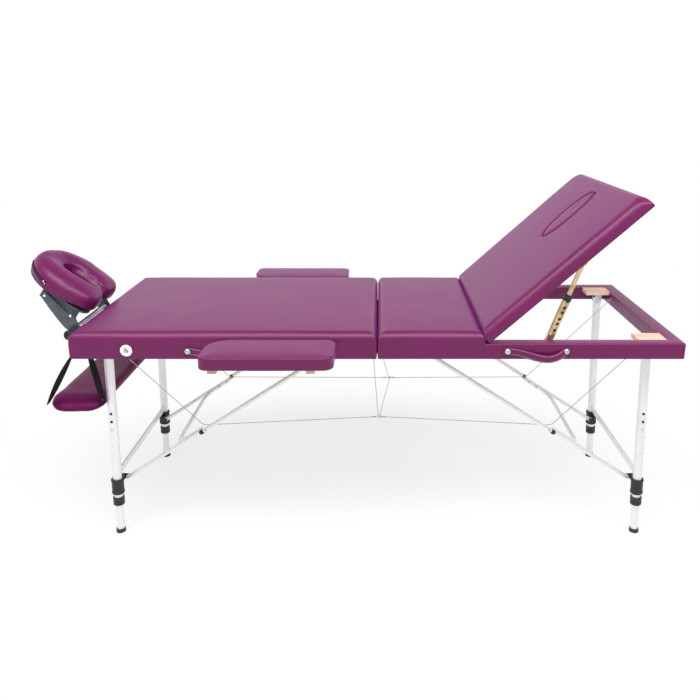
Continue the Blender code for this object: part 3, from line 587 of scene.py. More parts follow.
def carve(made, low, high):
    """Cuts a box out of a closed piece."""
    draft = bmesh.new()
    low, high = Vector(low), Vector(high)
    size = Matrix.Diagonal((*(high - low), 1))
    bmesh.ops.create_cube(draft, size=1, matrix=Matrix.Translation((low + high) / 2) @ size)
    mesh = bpy.data.meshes.new("cut")
    draft.to_mesh(mesh)
    draft.free()
    tool = bpy.data.objects.new("cut", mesh)
    SCENE.collection.objects.link(tool)
    cut = made.modifiers.new("cut", "BOOLEAN")
    cut.object = tool
    cut.operation = "DIFFERENCE"
    cut.solver = "EXACT"
    apply_modifiers(made)
    bpy.data.objects.remove(tool)


def raised(draft):
    """Tilts a shape drawn with the backrest lying flat."""
    turn = Matrix.Rotation(-BACKREST_TILT, 4, "Y")
    draft.transform(Matrix.Translation(BACKREST_PIVOT) @ turn @ Matrix.Translation(-BACKREST_PIVOT))


# ---- table covers ----

def skirt():
    """(inset, z) of a cover that wraps the frame: over the deck, down inside and back up."""
    low, over = FRAME_BOTTOM - 0.0018, DECK_TOP + 0.0002
    return [
        (0.0060, over), (0.0019, over), (0.0018, DECK_TOP - 0.003), (0.0018, FRAME_BOTTOM - 0.0001),
        (0.0120, FRAME_BOTTOM - 0.0001), (0.0120, low), (0.0035, low), (0.0012, low + 0.0006),
        (0.0, low + 0.0028), (0.0, low + 0.010), (0.0003, low + 0.025), (0.0002, low + 0.040),
    ]


def padded_cover(name, low, high, body, stands_for, radii, seed):
    """A board's cover: a skirt round the frame, rolled foam edges and a crowned top."""
    profile = skirt() + roll(0.0, BED_TOP, EDGE)
    inwards = (0.008, 0.02, 0.035, 0.055, 0.08, 0.11, 0.127, 0.15, 0.19, 0.23, 0.27, 0.30, 0.32)
    profile += [(EDGE + d, BED_TOP) for d in inwards]
    limit = min(high[0] - low[0], high[1] - low[1]) / 2 - 0.0075
    profile = [entry for entry in profile if entry[0] < limit]
    counts = [max(10, int((b - a) / 0.022)) for a, b in zip(low, high)]
    rings = []
    for inset, z in profile:
        share = 0.25 + 0.75 * clamp((z - RAIL_TOP) / 0.02)
        ring = rounded(low, high, [r * share for r in radii], inset, counts)
        rise = [crown(x, y, low, high, 0.0035) if z > BED_TOP - 0.03 else 0 for x, y in ring]
        rings.append([Vector((x, y, z + r)) for (x, y), r in zip(ring, rise)])
    draft = bmesh.new()
    loft(draft, rings, closed=False)
    caps = [f for f in draft.faces if len(f.verts) > 4]
    bmesh.ops.triangulate(draft, faces=caps, ngon_method="BEAUTY")
    soften(draft, seed)
    made = shaped(name, draft, "vinyl", body, 60, stands_for)
    return made


def make_table_covers():
    w = HALF_WIDTH
    padded_cover(
        "head_cover", (-0.93, -w), (-0.0015, w), "head_half", ["head_cushion"],
        (0.014, 0.008, 0.008, 0.014), 3)
    seat = padded_cover(
        "seat_cover", (0.0015, -w), (0.3255, w), "back_half", ["seat_cushion"], (0.006,) * 4, 11)
    carve(seat, at(0.28, -0.3045, 0.60), at(0.36, 0.3045, 0.7085))


def make_fold_gap_shade_sheet():
    """A black sheet standing in the narrow gap between the halves, from the frame's bottom to just over
    the rails: painted shade where the gap is dark.
    """
    low = (0.012 - HALF_WIDTH, FRAME_BOTTOM + 0.004)
    high = (HALF_WIDTH - 0.012, RAIL_TOP + 0.012)
    outline = rounded(low, high, (0.004,) * 4, 0, (12, 3), 3)
    draft = bmesh.new()
    loft(draft, [[Vector((x, y, z)) for y, z in outline] for x in (-0.0011, -0.0003)], closed=False)
    # Painted shade: a black sheet that fills the fold's gap.
    shaped("fold_gap_shade_sheet", draft, "webbing", "head_half", 30)


def rail_band(draft, outer, inner, z_range, edge):
    """A wrapped rail: its rounded section is swept between an outer and an inner line."""
    low, high = z_range
    rings = []
    for (ox, oy), (ix, iy) in zip(outer, inner):
        out = Vector((ox - ix, oy - iy, 0))
        width = out.length
        unit = out.normalized()
        section = rounded((0, low), (width, high), (edge,) * 4, 0, (2, 2), 3)
        rings.append([Vector((ix, iy, 0)) + unit * u + Vector((0, 0, v)) for u, v in section])
    loft(draft, rings, closed=False)


def rail_line(start, stop, width, corner):
    """One edge of the open rails, seen from above: out, across the far end and back."""
    run, cross = 26, 30
    reach = stop - corner - start
    line = [(start + reach * i / run, -width) for i in range(run)]
    line += arc((stop - corner, corner - width), corner, 270, 360, 6)
    line += [(stop, corner - width + 2 * (width - corner) * i / cross) for i in range(1, cross)]
    line += arc((stop - corner, width - corner), corner, 0, 90, 6)
    line += [(start + reach * i / run, width) for i in range(run - 1, -1, -1)]
    return line


def make_rail_cover():
    """The vinyl that wraps the open rails under the backrest, on three sides."""
    outer = rail_line(0.3250, 0.930, HALF_WIDTH, 0.0055)
    inner = rail_line(0.3250, 0.8866, 0.3066, 0.002)
    draft = bmesh.new()
    rail_band(draft, outer, inner, (FRAME_BOTTOM - 0.0016, RAIL_TOP + 0.0002), 0.0028)
    shaped("back_rail_cover", draft, "vinyl", "back_half")


# ---- backrest ----

def oval(angle, grow=0.0):
    """The face hole's outline, a long oval with slightly pinched ends."""
    a, b = PLUG_HALF
    s = math.cos(angle)
    x = a * s
    half = b * max(0.0, 1 - abs(s) ** 2.3) ** 0.60
    y = half if math.sin(angle) >= 0 else -half
    normal = Vector((x / a ** 2, y / b ** 2 + 1e-9))
    normal = normal.normalized() if normal.length > 1e-9 else Vector((1, 0))
    return PLUG_CENTRE_X + x + normal.x * grow, y + normal.y * grow


def face_hole(grow=0.0):
    """The face hole's whole outline."""
    count = 176
    return [oval(2 * math.pi * i / count, grow) for i in range(count)]


def make_backrest():
    """The backrest's cover: round its board, over the rolled edge, and down into the face hole."""
    low, high = (BACKREST_X[0], -HALF_WIDTH), (BACKREST_X[1], HALF_WIDTH)
    foot = BOARD_Z[0]
    counts = (36, 40)
    corner_points = 14
    first = corner_points + counts[0] - 1 + counts[1] // 2 - 1
    seat_z = BOARD_Z[1] + 0.0003
    profile = [(0.0036, seat_z), (0.0036, foot + 0.0004), (0.0008, foot + 0.0002), (0.0, foot + 0.002)]
    profile += [(0.0, foot + 0.008)] + roll(0.0, BACKREST_TOP, EDGE)
    profile += [(EDGE + d, BACKREST_TOP) for d in (0.012, 0.03)]
    rings = []
    for inset, z in profile:
        far_end = 0.005 + 0.042 * clamp((z - foot - 0.010) / 0.030)
        ring = rounded(low, high, (0.005, far_end, far_end, 0.005), inset, counts)
        rings.append([(x, y, z) for x, y in ring[first:] + ring[:first]])
    last = rings[-1]
    for step in range(1, 9):
        t = step / 9
        rings.append([
            (p[0] + (q[0] - p[0]) * t, p[1] + (q[1] - p[1]) * t, BACKREST_TOP)
            for p, q in zip(last, face_hole(0.020))
        ])
    dips = [(0.020, 0), (0.013, 0.0001), (0.009, 0.0004), (0.006, 0.0012), (0.0035, 0.0026)]
    dips += [(0.0015, 0.0046), (0.0004, 0.0075), (0.0, 0.011), (0.0, 0.020)]
    for grow, dip in [*dips, (0.0, BACKREST_TOP - seat_z)]:
        rings.append([(x, y, BACKREST_TOP - dip) for x, y in face_hole(grow)])
    lifted = []
    for ring in rings:
        rise = [crown(x, y, low, high, 0.003) if z > seat_z + 0.012 else 0 for x, y, z in ring]
        lifted.append([Vector((x, y, z + r)) for (x, y, z), r in zip(ring, rise)])
    draft = bmesh.new()
    loft(draft, lifted, closed=True)
    soften(draft, 21)
    raised(draft)
    made = shaped("backrest_cover", draft, "vinyl", "backrest", 70, ["backrest_cushion"])
    make_plug(low, high)


def make_plug(low, high):
    """The stuffed plug that fills the backrest's face hole, flush with its top."""
    board, top = BOARD_Z[0], BACKREST_TOP
    profile = [
        (-0.0135, board), (-0.0022, board), (-0.0012, board + 0.002), (-0.0012, top - 0.012),
        (-0.0016, top - 0.0075), (-0.0028, top - 0.0045), (-0.005, top - 0.0022),
        (-0.009, top - 0.0006), (-0.014, top + 0.0004)]
    rings = []
    for grow, z in profile:
        ring = []
        for x, y in face_hole():
            x = PLUG_CENTRE_X + (x - PLUG_CENTRE_X) * (1 + grow / PLUG_HALF[0])
            y *= 1 + grow / PLUG_HALF[1]
            ring.append(Vector((x, y, z + crown(x, y, low, high, 0.003) * (z > BOARD_Z[1]))))
        rings.append(ring)
    rim = rings[-1]
    for share in (0.825, 0.5625, 0.3125, 0.1):
        rings.append([
            Vector((PLUG_CENTRE_X + (p.x - PLUG_CENTRE_X) * share, p.y * share, p.z + 0.0006))
            for p in rim
        ])
    draft = bmesh.new()
    loft(draft, rings, closed=False)
    raised(draft)
    made = shaped("face_hole_plug", draft, "vinyl", "face_plug", 70, ["face_plug"])


# ---- stuffed pieces ----

def inflate(name, draft, voxel, pressure, cap):
    """Air fills a closed form until its cover is tight: an even mesh, cloth, then a cap."""
    made = bpy.data.objects.new(name, mesh_of(draft))
    SCENE.collection.objects.link(made)
    even = made.modifiers.new("even", "REMESH")
    even.mode = "VOXEL"
    even.voxel_size = voxel
    apply_modifiers(made)
    rest = [v.co.copy() for v in made.data.vertices]
    cloth = made.modifiers.new("air", "CLOTH").settings
    cloth.quality = 5
    cloth.mass = 0.3
    cloth.tension_stiffness = cloth.compression_stiffness = 12
    cloth.shear_stiffness = 5
    cloth.bending_stiffness = 0.4
    cloth.use_pressure = True
    cloth.uniform_pressure_force = pressure
    cloth.effector_weights.gravity = 0
    for step in range(1, 21):
        SCENE.frame_set(step)
    apply_modifiers(made)
    for vertex, start in zip(made.data.vertices, rest):
        move = vertex.co - start
        if move.length > cap:
            vertex.co = start + move * (cap / move.length)
    SCENE.frame_set(1)
    relax(made, 4)
    return made


def upholster(made, place, material, body, node):
    """Dresses a stuffed form and puts it on its body in place of its CAD node."""
    made.data.transform(place)
    made.data.materials.append(MATERIALS[material])
    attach(made, body)
    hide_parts(node)
    smoother(made)


def relax(made, rounds):
    draft = bmesh.new()
    draft.from_mesh(made.data)
    for _ in range(rounds):
        bmesh.ops.smooth_vert(
            draft, verts=draft.verts, factor=0.5, use_axis_x=True, use_axis_y=True, use_axis_z=True)
    draft.to_mesh(made.data)
    draft.free()
    made.data.shade_smooth()


def bent(p, q, r, steps=8):
    """Points on the smooth turn from p to r that q pulls, p left out."""
    shares = [i / steps for i in range(1, steps + 1)]
    return [
        tuple((1 - t) ** 2 * a + 2 * t * (1 - t) * b + t * t * c for a, b, c in zip(p, q, r))
        for t in shares
    ]


def horseshoe(grow):
    """The face cushion's outline in its own flat frame, open towards the table, grown all round.
    The opening is a long slot, and the two arms close on each other at their ends."""
    steps = 12
    outer, tip, back = 0.144 + grow, 0.138 + grow, 0.011
    slot, lips = 0.024 - grow, max(0.003, 0.012 - grow)
    shoulder = (back + 0.094, 0.012 - outer)
    elbow, lip, mouth = (tip, -0.072), (tip - 0.026 - grow, -lips), (-0.010, -slot)
    near = arc((back, 0), outer, 90, 270, steps * 2)
    near += bent((back, -outer), (back + 0.062, -outer), shoulder)
    near += bent(shoulder, (tip + 0.003, 0.028 - outer), elbow, 10)
    near += bent(elbow, (tip, -0.018), lip)
    near += bent(lip, (0.045, -slot - 0.003), mouth, 12)
    end = arc((mouth[0], 0), slot, 270, 90, steps)[1:]
    far = [(x, -y) for x, y in reversed(near[steps * 2 + 1:-1])]
    return near + end + far


def over_plate(x, y, z):
    """The cushion's lower edge drops past its plate, but only round the outside."""
    if x > -0.085 and abs(y) < 0.066:
        return max(z, CUSHION_BASE)
    share = clamp((x - 0.045) / 0.055)
    return z + (max(z, CUSHION_BASE) - z) * share


def around_cushion(tree, angle, height):
    """Where the face cushion's skin is, looked for from outside at an angle round its back."""
    way = Vector((math.cos(math.radians(angle)), math.sin(math.radians(angle)), 0))
    hit, normal, _, _ = tree.ray_cast(Vector((CUSHION_BACK, 0, height)) + way * 0.3, -way)
    return hit, normal


def cradle_place():
    return SHIFT @ Matrix.Translation(CUSHION_CENTRE) @ Matrix.Rotation(CUSHION_TILT, 4, "Y")


def make_face_cushion():
    layers = [
        (CUSHION_BASE, -0.034), (-0.0245, -0.0100), (-0.0335, -0.0095), (-0.0350, -0.0065),
        (-0.0330, -0.0035), (-0.018, -0.0030), (-0.004, -0.0035), (0.010, -0.0055),
        (0.021, -0.011), (0.0290, -0.021)]
    rings = [[Vector((x, y, over_plate(x, y, z))) for x, y in horseshoe(grow)] for z, grow in layers]
    draft = bmesh.new()
    loft(draft, rings, closed=False)
    bmesh.ops.triangulate(draft, faces=[f for f in draft.faces if len(f.verts) > 4])
    made = inflate("face_cushion_pad", draft, 0.0045, 4.0, 0.011)
    pucker(made)
    relax(made, 4)
    tree = BVHTree.FromObject(made, bpy.context.evaluated_depsgraph_get())
    make_cushion_seam(tree)
    make_zip(tree)
    upholster(made, cradle_place(), "vinyl", "headrest_platform", "face_cushion")


def pucker(made):
    """Gathers where the cover is pulled round the tight curve at the back, near the zip.
    The plate, with its rim at 0.1285, keeps its room under the cushion."""
    plate, rim = 0.1285, 0.1365
    for vertex in made.data.vertices:
        co = vertex.co
        over = abs(co.y) < plate and (co.x > 0 or math.hypot(co.x, co.y) < plate)
        co.z = max(co.z, CUSHION_BASE if over else -0.0360)
        if co.z < CUSHION_BASE - 0.0003 and co.x > -0.05 and 0.1 < abs(co.y) < rim:
            co.y = math.copysign(rim, co.y)
        reach = math.hypot(co.x - CUSHION_BACK, co.y)
        turn = math.atan2(co.y, co.x - 0.005) % (2 * math.pi)
        near_edge = clamp((reach - 0.112) / 0.030)
        side = max(0.0, math.cos(turn - math.radians(200))) ** 1.5
        ripple = math.sin(turn * 34 + 3 * noise.noise(Vector((turn * 3, 2.0, 0))))
        depth = 0.6 + 0.6 * noise.noise(Vector((turn * 5, 0, 4.0)))
        lift = 0.0016 * near_edge * side * ripple * depth
        co.z += lift + 0.0010 * unrest(co, 0.05, 31)
        co.x += lift * 0.5


def make_cushion_seam(tree):
    """The piped seam where the cushion's wall meets its base."""
    start, sweep, steps = 50, 260, 99
    points = []
    for i in range(steps + 1):
        hit, normal = around_cushion(tree, start + sweep * i / steps, -0.0135)
        if hit:
            points.append(hit + normal * 0.0002)
    draft = bmesh.new()
    tube(draft, points, 0.0013, across=(0, 0, 1))
    shaped("face_cushion_seam", draft, "vinyl", "headrest_platform", place=cradle_place())


def make_zip(tree):
    """A coil zip let into the cushion's lower seam, with its slider and pull."""
    start, sweep, steps, stop = 198, 54, 69, 64
    tape, teeth, slider = bmesh.new(), bmesh.new(), bmesh.new()
    rings, places = [], []
    for i in range(steps + 1):
        turn = start + sweep * i / steps
        hit, normal = around_cushion(tree, turn, -0.0055)
        upper, _ = around_cushion(tree, turn, -0.0010)
        lower, _ = around_cushion(tree, turn, -0.0100)
        out = normal * 0.0007
        rings.append([lower - out, lower + out, hit + out * 1.6, upper + out, upper - out])
        places.append((hit, normal))
    loft(tape, rings, closed=False)
    half_tooth = Vector((0, 0, 0.0017))
    for (p, n), (q, _) in zip(places, places[1:]):
        for share in (0.0, 0.5):
            centre = p.lerp(q, share) + n * 0.0013
            tube(teeth, [centre - half_tooth, centre + half_tooth], 0.00055, 6)
    hit, normal = places[stop]
    along = (places[stop + 2][0] - hit).normalized()
    lathe(slider, axis_place(hit + normal * 0.002, normal), [
        (0, -0.001), (0.0030, -0.001), (0.0034, 0.0004), (0.0028, 0.0016), (0.0014, 0.0022),
        (0, 0.0022)], 12)
    eye = hit + normal * 0.0052
    pull = [eye, eye + along * 0.005, eye + along * 0.013 - Vector((0, 0, 0.003))]
    tube(slider, pull, 0.0018, 8, 0.35, normal)
    parts = (("tape", tape, "zip_tape_and_notch_shade"), ("teeth", teeth, "black_plastic"), ("slider", slider, "steel"))
    for label, draft, material in parts:
        shaped(f"face_cushion_zip_{label}", draft, material, "headrest_platform", place=cradle_place())


def make_armrest_pads():
    """The armrests' pads: a piped lower edge, a straight wall and a low crowned top."""
    (x0, y_out), (x1, y_in) = (-0.498, -0.534), (-0.120, -0.372)
    low, high = (corner.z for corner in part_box("armrest_near_pad"))
    profile = [(0.030, low), (0.012, low), (0.0035, low + 0.0004), (0.0008, low + 0.0022)]
    profile += [(0.0, low + 0.006), (0.0008, low + 0.014), (0.0010, low + 0.020)]
    profile += [(0.0004, high - 0.0085), (-0.0006, high - 0.0062), (-0.0006, high - 0.0050)]
    profile += roll(0.0, high - 0.0015, 0.0040, 5)
    rises = ((0.003, 0.0004), (0.008, 0.0010), (0.016, 0.0019), (0.026, 0.0027),
             (0.040, 0.0033), (0.055, 0.0036), (0.070, 0.0037))
    profile += [(0.0040 + inwards, high - 0.0015 + rise) for inwards, rise in rises]
    corners = (0.026, 0.030, 0.036, 0.074)
    for side_name, side in SIDES.items():
        rings = []
        for inset, z in profile:
            ring = rounded((x0, y_out), (x1, y_in), corners, inset, (36, 14))
            rings.append([Vector((x, -side * y, z)) for x, y in ring])
        draft = bmesh.new()
        loft(draft, rings, closed=False)
        soften(draft, 41 + side, 0.0006)
        name = f"armrest_{side_name}"
        made = shaped(name + "_cushion", draft, "vinyl", name, 60, [name + "_pad"])


def droop(y):
    """The sling's ends hang lower than its straps."""
    past = max(0.0, abs(y) - 0.235) / 0.065
    return -0.013 * past ** 1.6


def make_sling_pad():
    """The soft pad that hangs between the sling's straps, with drooping ends."""
    (x0, x1), middle = SLING_X, sum(SLING_Z) / 2
    section = [(0.006, -0.0125), (-0.002, -0.0105), (-0.007, -0.004)]
    section += [(inset, -z) for inset, z in reversed(section)]
    rings = []
    for inset, z in section:
        outline = rounded((x0, -SLING_HALF), (x1, SLING_HALF), (0.050,) * 4, inset, (6, 26))
        rings.append([Vector((x, y, middle + z)) for x, y in outline])
    draft = bmesh.new()
    loft(draft, rings, closed=False)
    made = inflate("sling_cushion", draft, 0.006, 3.0, 0.005)
    for vertex in made.data.vertices:
        co = vertex.co
        co.z = max(co.z, SLING_Z[0] - 0.0010)
        above = clamp((co.z - middle) / 0.006)
        co.z += 0.0012 * unrest(co, 0.07, 51) * above + droop(co.y)
    # The sling pad wears the plum vinyl darkened as painted shade, and less glossy.
    upholster(made, SHIFT, "matt_painted_shade_vinyl", "arm_sling", "sling_pad")


def make_sling_straps():
    """Flat webbing from the frame's end to the pad's long edges, where it is sewn on."""
    low = sum(SLING_Z) / 2 + 0.001
    section = ((-0.011, -0.0009), (0, -0.0011), (0.011, -0.0009))
    section += tuple((u, -v) for u, v in reversed(section))
    stitch = Vector((0, 0.0008, 0))
    for side_name, side in SIDES.items():
        draft, stitches = bmesh.new(), bmesh.new()
        outer = (-0.9345, side * 0.322, 0.6600), (SLING_X[0] - 0.003, side * 0.285, low)
        inner = (-0.8985, side * 0.285, 0.6550), (SLING_X[1] + 0.003, side * 0.285, low)
        for ends in (outer, inner):
            p, q = (Vector(place) for place in ends)
            way = (q - p).normalized()
            out = Vector((-way.z, 0, way.x)).normalized() * (1 if way.x > 0 else -1)
            rings = []
            for i in range(11):
                bow = math.sin(math.pi * i / 10)
                place = p.lerp(q, i / 10) + out * 0.0016 * bow
                twist = Matrix.Rotation(-side * 0.62 * bow, 3, way)
                rings.append([place + twist @ (out * v + Vector((0, u, 0))) for u, v in section])
            loft(draft, rings, closed=False)
            sewn = p.lerp(q, 0.91) + out * (0.0013 + 0.00144 * math.sin(math.pi * 0.9))
            for k in range(8):
                centre = sewn + Vector((0, -0.0085 + 0.017 * k / 7, 0))
                tube(stitches, [centre - stitch, centre + stitch], 0.0004, 6, across=(1, 0, 0))
        name = f"sling_{side_name}_"
        shaped(name + "webbing", draft, "webbing", "arm_sling", stands_for=[name + "strap"])
        shaped(name + "stitches", stitches, "thread", "arm_sling")


# ---- handles and side fittings ----

def sag(share):
    """How far a handle hangs along its length: it drops slowly and curls up to its last screw."""
    return math.sin(math.pi * share ** 1.75) ** 0.9 if 0 < share < 1 else 0.0


def strap_point(end, share):
    """The handle's centre line from its left screw, at 0, to its right screw, at 1."""
    left = min(end * 0.393, end * 0.570)
    fall = sag(share)
    out = 0.0028 + 0.0105 * fall ** 1.4
    return Vector((left + 0.177 * share, -HALF_WIDTH - out, 0.684 - 0.0215 * fall))


def strap_across(end, share, reach):
    """Unit vector across the handle, in its own plane."""
    way = (strap_point(end, share + reach) - strap_point(end, share - reach)).normalized()
    return Vector((-way.z, 0, way.x)).normalized()


def make_handle(name, end):
    """A stuffed carrying handle with two stitched rows, on cupped screws."""
    body = name + "_half"
    rings = []
    for i in range(61):
        share = -0.085 + 1.17 * i / 60
        place, across = strap_point(end, share), strap_across(end, share, 0.01)
        stuffed = 0.0021 + 0.0016 * sag(share)
        reach = 0.0120 * (1 if -0.07 < share < 1.07 else 0.86)
        ring = []
        for k in range(16):
            t = 2 * math.pi * k / 16
            u = math.copysign(abs(math.cos(t)) ** 0.55, math.cos(t))
            v = math.copysign(abs(math.sin(t)) ** 0.8, math.sin(t))
            ring.append(place + across * reach * u + Vector((0, stuffed * v, 0)))
        rings.append(ring)
    draft = bmesh.new()
    loft(draft, rings, closed=False)
    smoother(shaped(name + "_handle", draft, "vinyl", body, 60, [name + "_handle_strap"]))
    stitches = bmesh.new()
    for row in (-0.0082, 0.0082):
        for i in range(33):
            share = -0.03 + 0.033 * i
            across = strap_across(end, share + 0.010, 0.010) * row
            out = Vector((0, -(0.0021 + 0.0016 * sag(share)) * 0.88 - 0.0002, 0))
            centre = [strap_point(end, share + d) + across + out for d in (0, 0.010, 0.020)]
            tube(stitches, centre, 0.00055, 6)
    shaped(name + "_handle_stitches", stitches, "thread", body)
    spots = [(strap_point(end, share) - Vector((0, 0.0017, 0)), (0, -1, 0)) for share in (0, 1)]
    for i, spot in enumerate(spots):
        turned(f"{name}_handle_screw_{i}", [spot], dome_screw(0.0082), 24, "steel", body, 30)
    cup = [(0, -0.0006), (0.0100, -0.0006), (0.0106, 0.0005), (0.0101, 0.0012), (0.0088, 0.0010)]
    turned(name + "_handle_cups", spots, [*cup, (0, 0.0008)], 28, "black_plastic", body)


def dome_screw(radius):
    """The profile of a pan-head screw on its washer, with a round recess."""
    profile = [(0, -0.0005), (radius * 1.12, -0.0005), (radius * 1.15, 0.0006), (radius * 1.05, 0.0012)]
    profile += [(radius * 0.98, 0.0013), (radius * 0.94, 0.0024), (radius * 0.80, 0.0040)]
    profile += [(radius * 0.58, 0.0050), (radius * 0.36, 0.0053), (radius * 0.33, 0.0050)]
    return [*profile, (radius * 0.30, 0.0022), (0, 0.0018)]


def make_side_discs():
    """A white cup with a plated centre, on each side of the head half."""
    cup = [
        (0, -0.0008), (0.0170, -0.0008), (0.0182, 0.0004), (0.0184, 0.0016), (0.0174, 0.0028),
        (0.0150, 0.0032), (0.0120, 0.0029), (0.0098, 0.0020), (0.0085, 0.0012), (0, 0.0010)]
    centre = [
        (0, 0.0008), (0.0066, 0.0008), (0.0070, 0.0016), (0.0062, 0.0028), (0.0040, 0.0033),
        (0.0036, 0.0028), (0.0032, 0.0020), (0, 0.0018)]
    for side_name, side in SIDES.items():
        name = f"side_disc_{side_name}"
        spots = [(Vector((-0.7555, side * (HALF_WIDTH + 0.0002), 0.6855)), (0, side, 0))]
        turned(name, spots, cup, 40, "white_cap", "head_half", 60, "black_plastic")
        turned(name + "_centre", spots, centre, 24, "green_zinc", "head_half", 40, "steel")


# ---- legs and stays ----

def leg_point(end, z, y=0.0):
    return Vector((end * (FOOT_X - math.tan(SPLAY) * z), y, z))


def lug_point(end):
    return leg_point(end, LUG_Z) + Vector((-end * math.cos(SPLAY), 0, -math.sin(SPLAY))) * LUG_OFFSET


def stay_top(end):
    return Vector((end * STAY_TOP[0], 0, STAY_TOP[1]))


def knee_point(end, y=0.0):
    """The stays' joint, which lies level with their tops when the leg is folded."""
    top, pivot, lug = stay_top(end), leg_point(end, LEG_PIVOT_Z), lug_point(end)
    folded = pivot + Matrix.Rotation(end * (math.pi / 2 + SPLAY), 3, "Y") @ (lug - pivot)
    upper = ((lug - top).length + (folded - top).length) / 2
    return top + stay_way(end) * upper + Vector((0, y, 0))


def stay_way(end):
    """Unit vector from the upper stay's top down to the leg's lug."""
    return (lug_point(end) - stay_top(end)).normalized()


def lower_way(end):
    """Unit vector from the knee down along the lower stay, towards the leg's lug."""
    return (lug_point(end) - knee_point(end)).normalized()


def make_leg_details(name, end):
    """Black trim on each leg: the end ring, the collar's bands, hole plugs and the tube's cap."""
    up = (leg_point(end, 1) - leg_point(end, 0)).normalized()
    top = LEG_PIVOT_Z / math.cos(SPLAY) + 0.0088
    ring = [
        (0.0131, 0.1060), (0.0172, 0.1060), (0.0184, 0.1075), (0.0186, 0.1190), (0.0181, 0.1205),
        (0.0181, 0.1225), (0.0186, 0.1240), (0.0184, 0.1335), (0.0172, 0.1350), (0.0148, 0.1350),
        (0.0148, 0.1086), (0.0131, 0.1086)]
    band = [(0.0196, 0), (0.0206, 0.0006), (0.0209, 0.0030), (0.0206, 0.0054), (0.0196, 0.0060)]
    plug = [(0, -0.0006), (0.0044, -0.0006), (0.0046, 0.0008), (0.0038, 0.0016), (0.0020, 0.0012)]
    cap = [
        (0, -0.004), (0.0128, -0.004), (0.0129, 0), (0.0146, 0.0002), (0.0144, 0.0016),
        (0.0120, 0.0024), (0, 0.0026)]
    for side_name, side in SIDES.items():
        foot = leg_point(end, 0, side * LEG_Y)
        outside = side * (LEG_Y + LEG_RADIUS - 0.0006)
        bands = [(foot + up * low, up) for low in (0.1500, 0.1930)]
        holes = [(leg_point(end, z, outside), (0, side, 0)) for z in (0.441, 0.413)]
        for label, spots, profile, segments, smooth, closed in (
                ("end_ring", [(foot, up)], ring, 28, 35, True),
                ("collar_bands", bands, band, 28, 35, True),
                ("hole_plugs", holes, [*plug, (0, 0.0010)], 18, 40, False),
                ("tube_cap", [(foot + up * top, up)], cap, 24, 35, False)):
            turned(
                f"{name}_{side_name}_{label}", spots, profile, segments, "black_plastic",
                name + "_legs", smooth, closed=closed)


def make_stay_details(name, end):
    """Caps and bolts at the knees, and the bolts that hold the spreader."""
    way = stay_way(end)
    cap = [
        (0.0070, -0.008), (0.0076, -0.0076), (0.0079, -0.006), (0.0079, 0.003), (0.0072, 0.0060),
        (0.0048, 0.0078), (0, 0.0082)]
    upper, lower = name + "_upper_stays", name + "_lower_stays"
    for side_name, side in SIDES.items():
        knee = knee_point(end, side * UPPER_STAY_Y)
        inside = knee_point(end, side * (SPREADER_Y - STAY_RADIUS + 0.0004))
        bolt = [(knee + Vector((0, side * 0.0062, 0)) - way * 0.017, (0, side, 0))]
        heads = [(inside + lower_way(end) * along, (0, -side, 0)) for along in (0.014, 0.050)]
        label = f"{name}_{side_name}_"
        turned(label + "knee_cap", [(knee, way)], cap, 20, "black_plastic", upper, 50)
        turned(label + "knee_bolt", bolt, dome_screw(0.0038), 24, "steel", upper, 30)
        turned(label + "spreader_bolts", heads, dome_screw(0.0036), 24, "steel", lower, 30)


def cable_route(end, side):
    """A brace's corners: the frame's outer end, the knee, and the ring under the fold."""
    y = side * (SPREADER_Y + 0.001)
    knee = knee_point(end, y) + Vector((0, 0, 0.0105))
    ring = CABLE_RING[side] + Vector((-0.0035 if end < 0 else 0, 0, 0))
    return [Vector((end * 0.8863, y, 0.690)), knee, ring]


def wire(name, draft, body, stands_for=()):
    """A cable piece, with its own copy of its mesh."""
    made = shaped(name, draft, "cable", body, stands_for=stands_for)
    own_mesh(made)


def eased(points):
    """A bent wire's line: each corner is rounded off."""
    radius = 0.012
    line = [points[0]]
    for before, corner, after in zip(points, points[1:], points[2:]):
        p = corner + (before - corner).normalized() * radius
        q = corner + (after - corner).normalized() * radius
        line += [p.lerp(corner, t).lerp(corner.lerp(q, t), t) for t in (0, 0.25, 0.5, 0.75, 1)]
    return [*line, points[-1]]


def make_cables():
    """Thin bracing wires with crimped sleeves."""
    for name, end in ENDS.items():
        for side_name, side in SIDES.items():
            top, knee, ring = cable_route(end, side)
            draft = bmesh.new()
            tube(draft, eased([top, knee, ring]), WIRE_RADIUS)
            for p in (top, ring):
                way = (knee - p).normalized()
                tube(draft, [p + way * 0.008, p + way * 0.022], 0.0026)
            wire(
                f"{name}_{side_name}_brace", draft, name + "_half",
                CABLE_NODES.get((name, side_name), ()))
    for side_name, side in SIDES.items():
        centre = CABLE_RING[side]
        drop, loop = bmesh.new(), bmesh.new()
        top = Vector((DROP_TOP_X[side], centre.y, FOLD_PIN_Z))
        tube(drop, [top, centre - Vector((0.0035, 0, 0))], WIRE_RADIUS)
        wire(f"drop_{side_name}_wire", drop, "head_half", ())
        rings = []
        for i in range(20):
            spoke = Vector((math.cos(math.pi * i / 10), 0, math.sin(math.pi * i / 10)))
            rings.append([
                centre + spoke * (0.0050 + 0.0011 * math.cos(u)) + Vector((0, 0.0011 * math.sin(u), 0))
                for u in (2 * math.pi * k / 8 for k in range(8))
            ])
        loft(loop, rings, closed=True)
        wire(f"cable_ring_{side_name}", loop, "back_half")
    cross = bmesh.new()
    tube(cross, list(CABLE_RING.values()), WIRE_RADIUS, across=(0, 0, 1))
    wire("cross_wire", cross, "back_half")


# ---- backrest stays ----

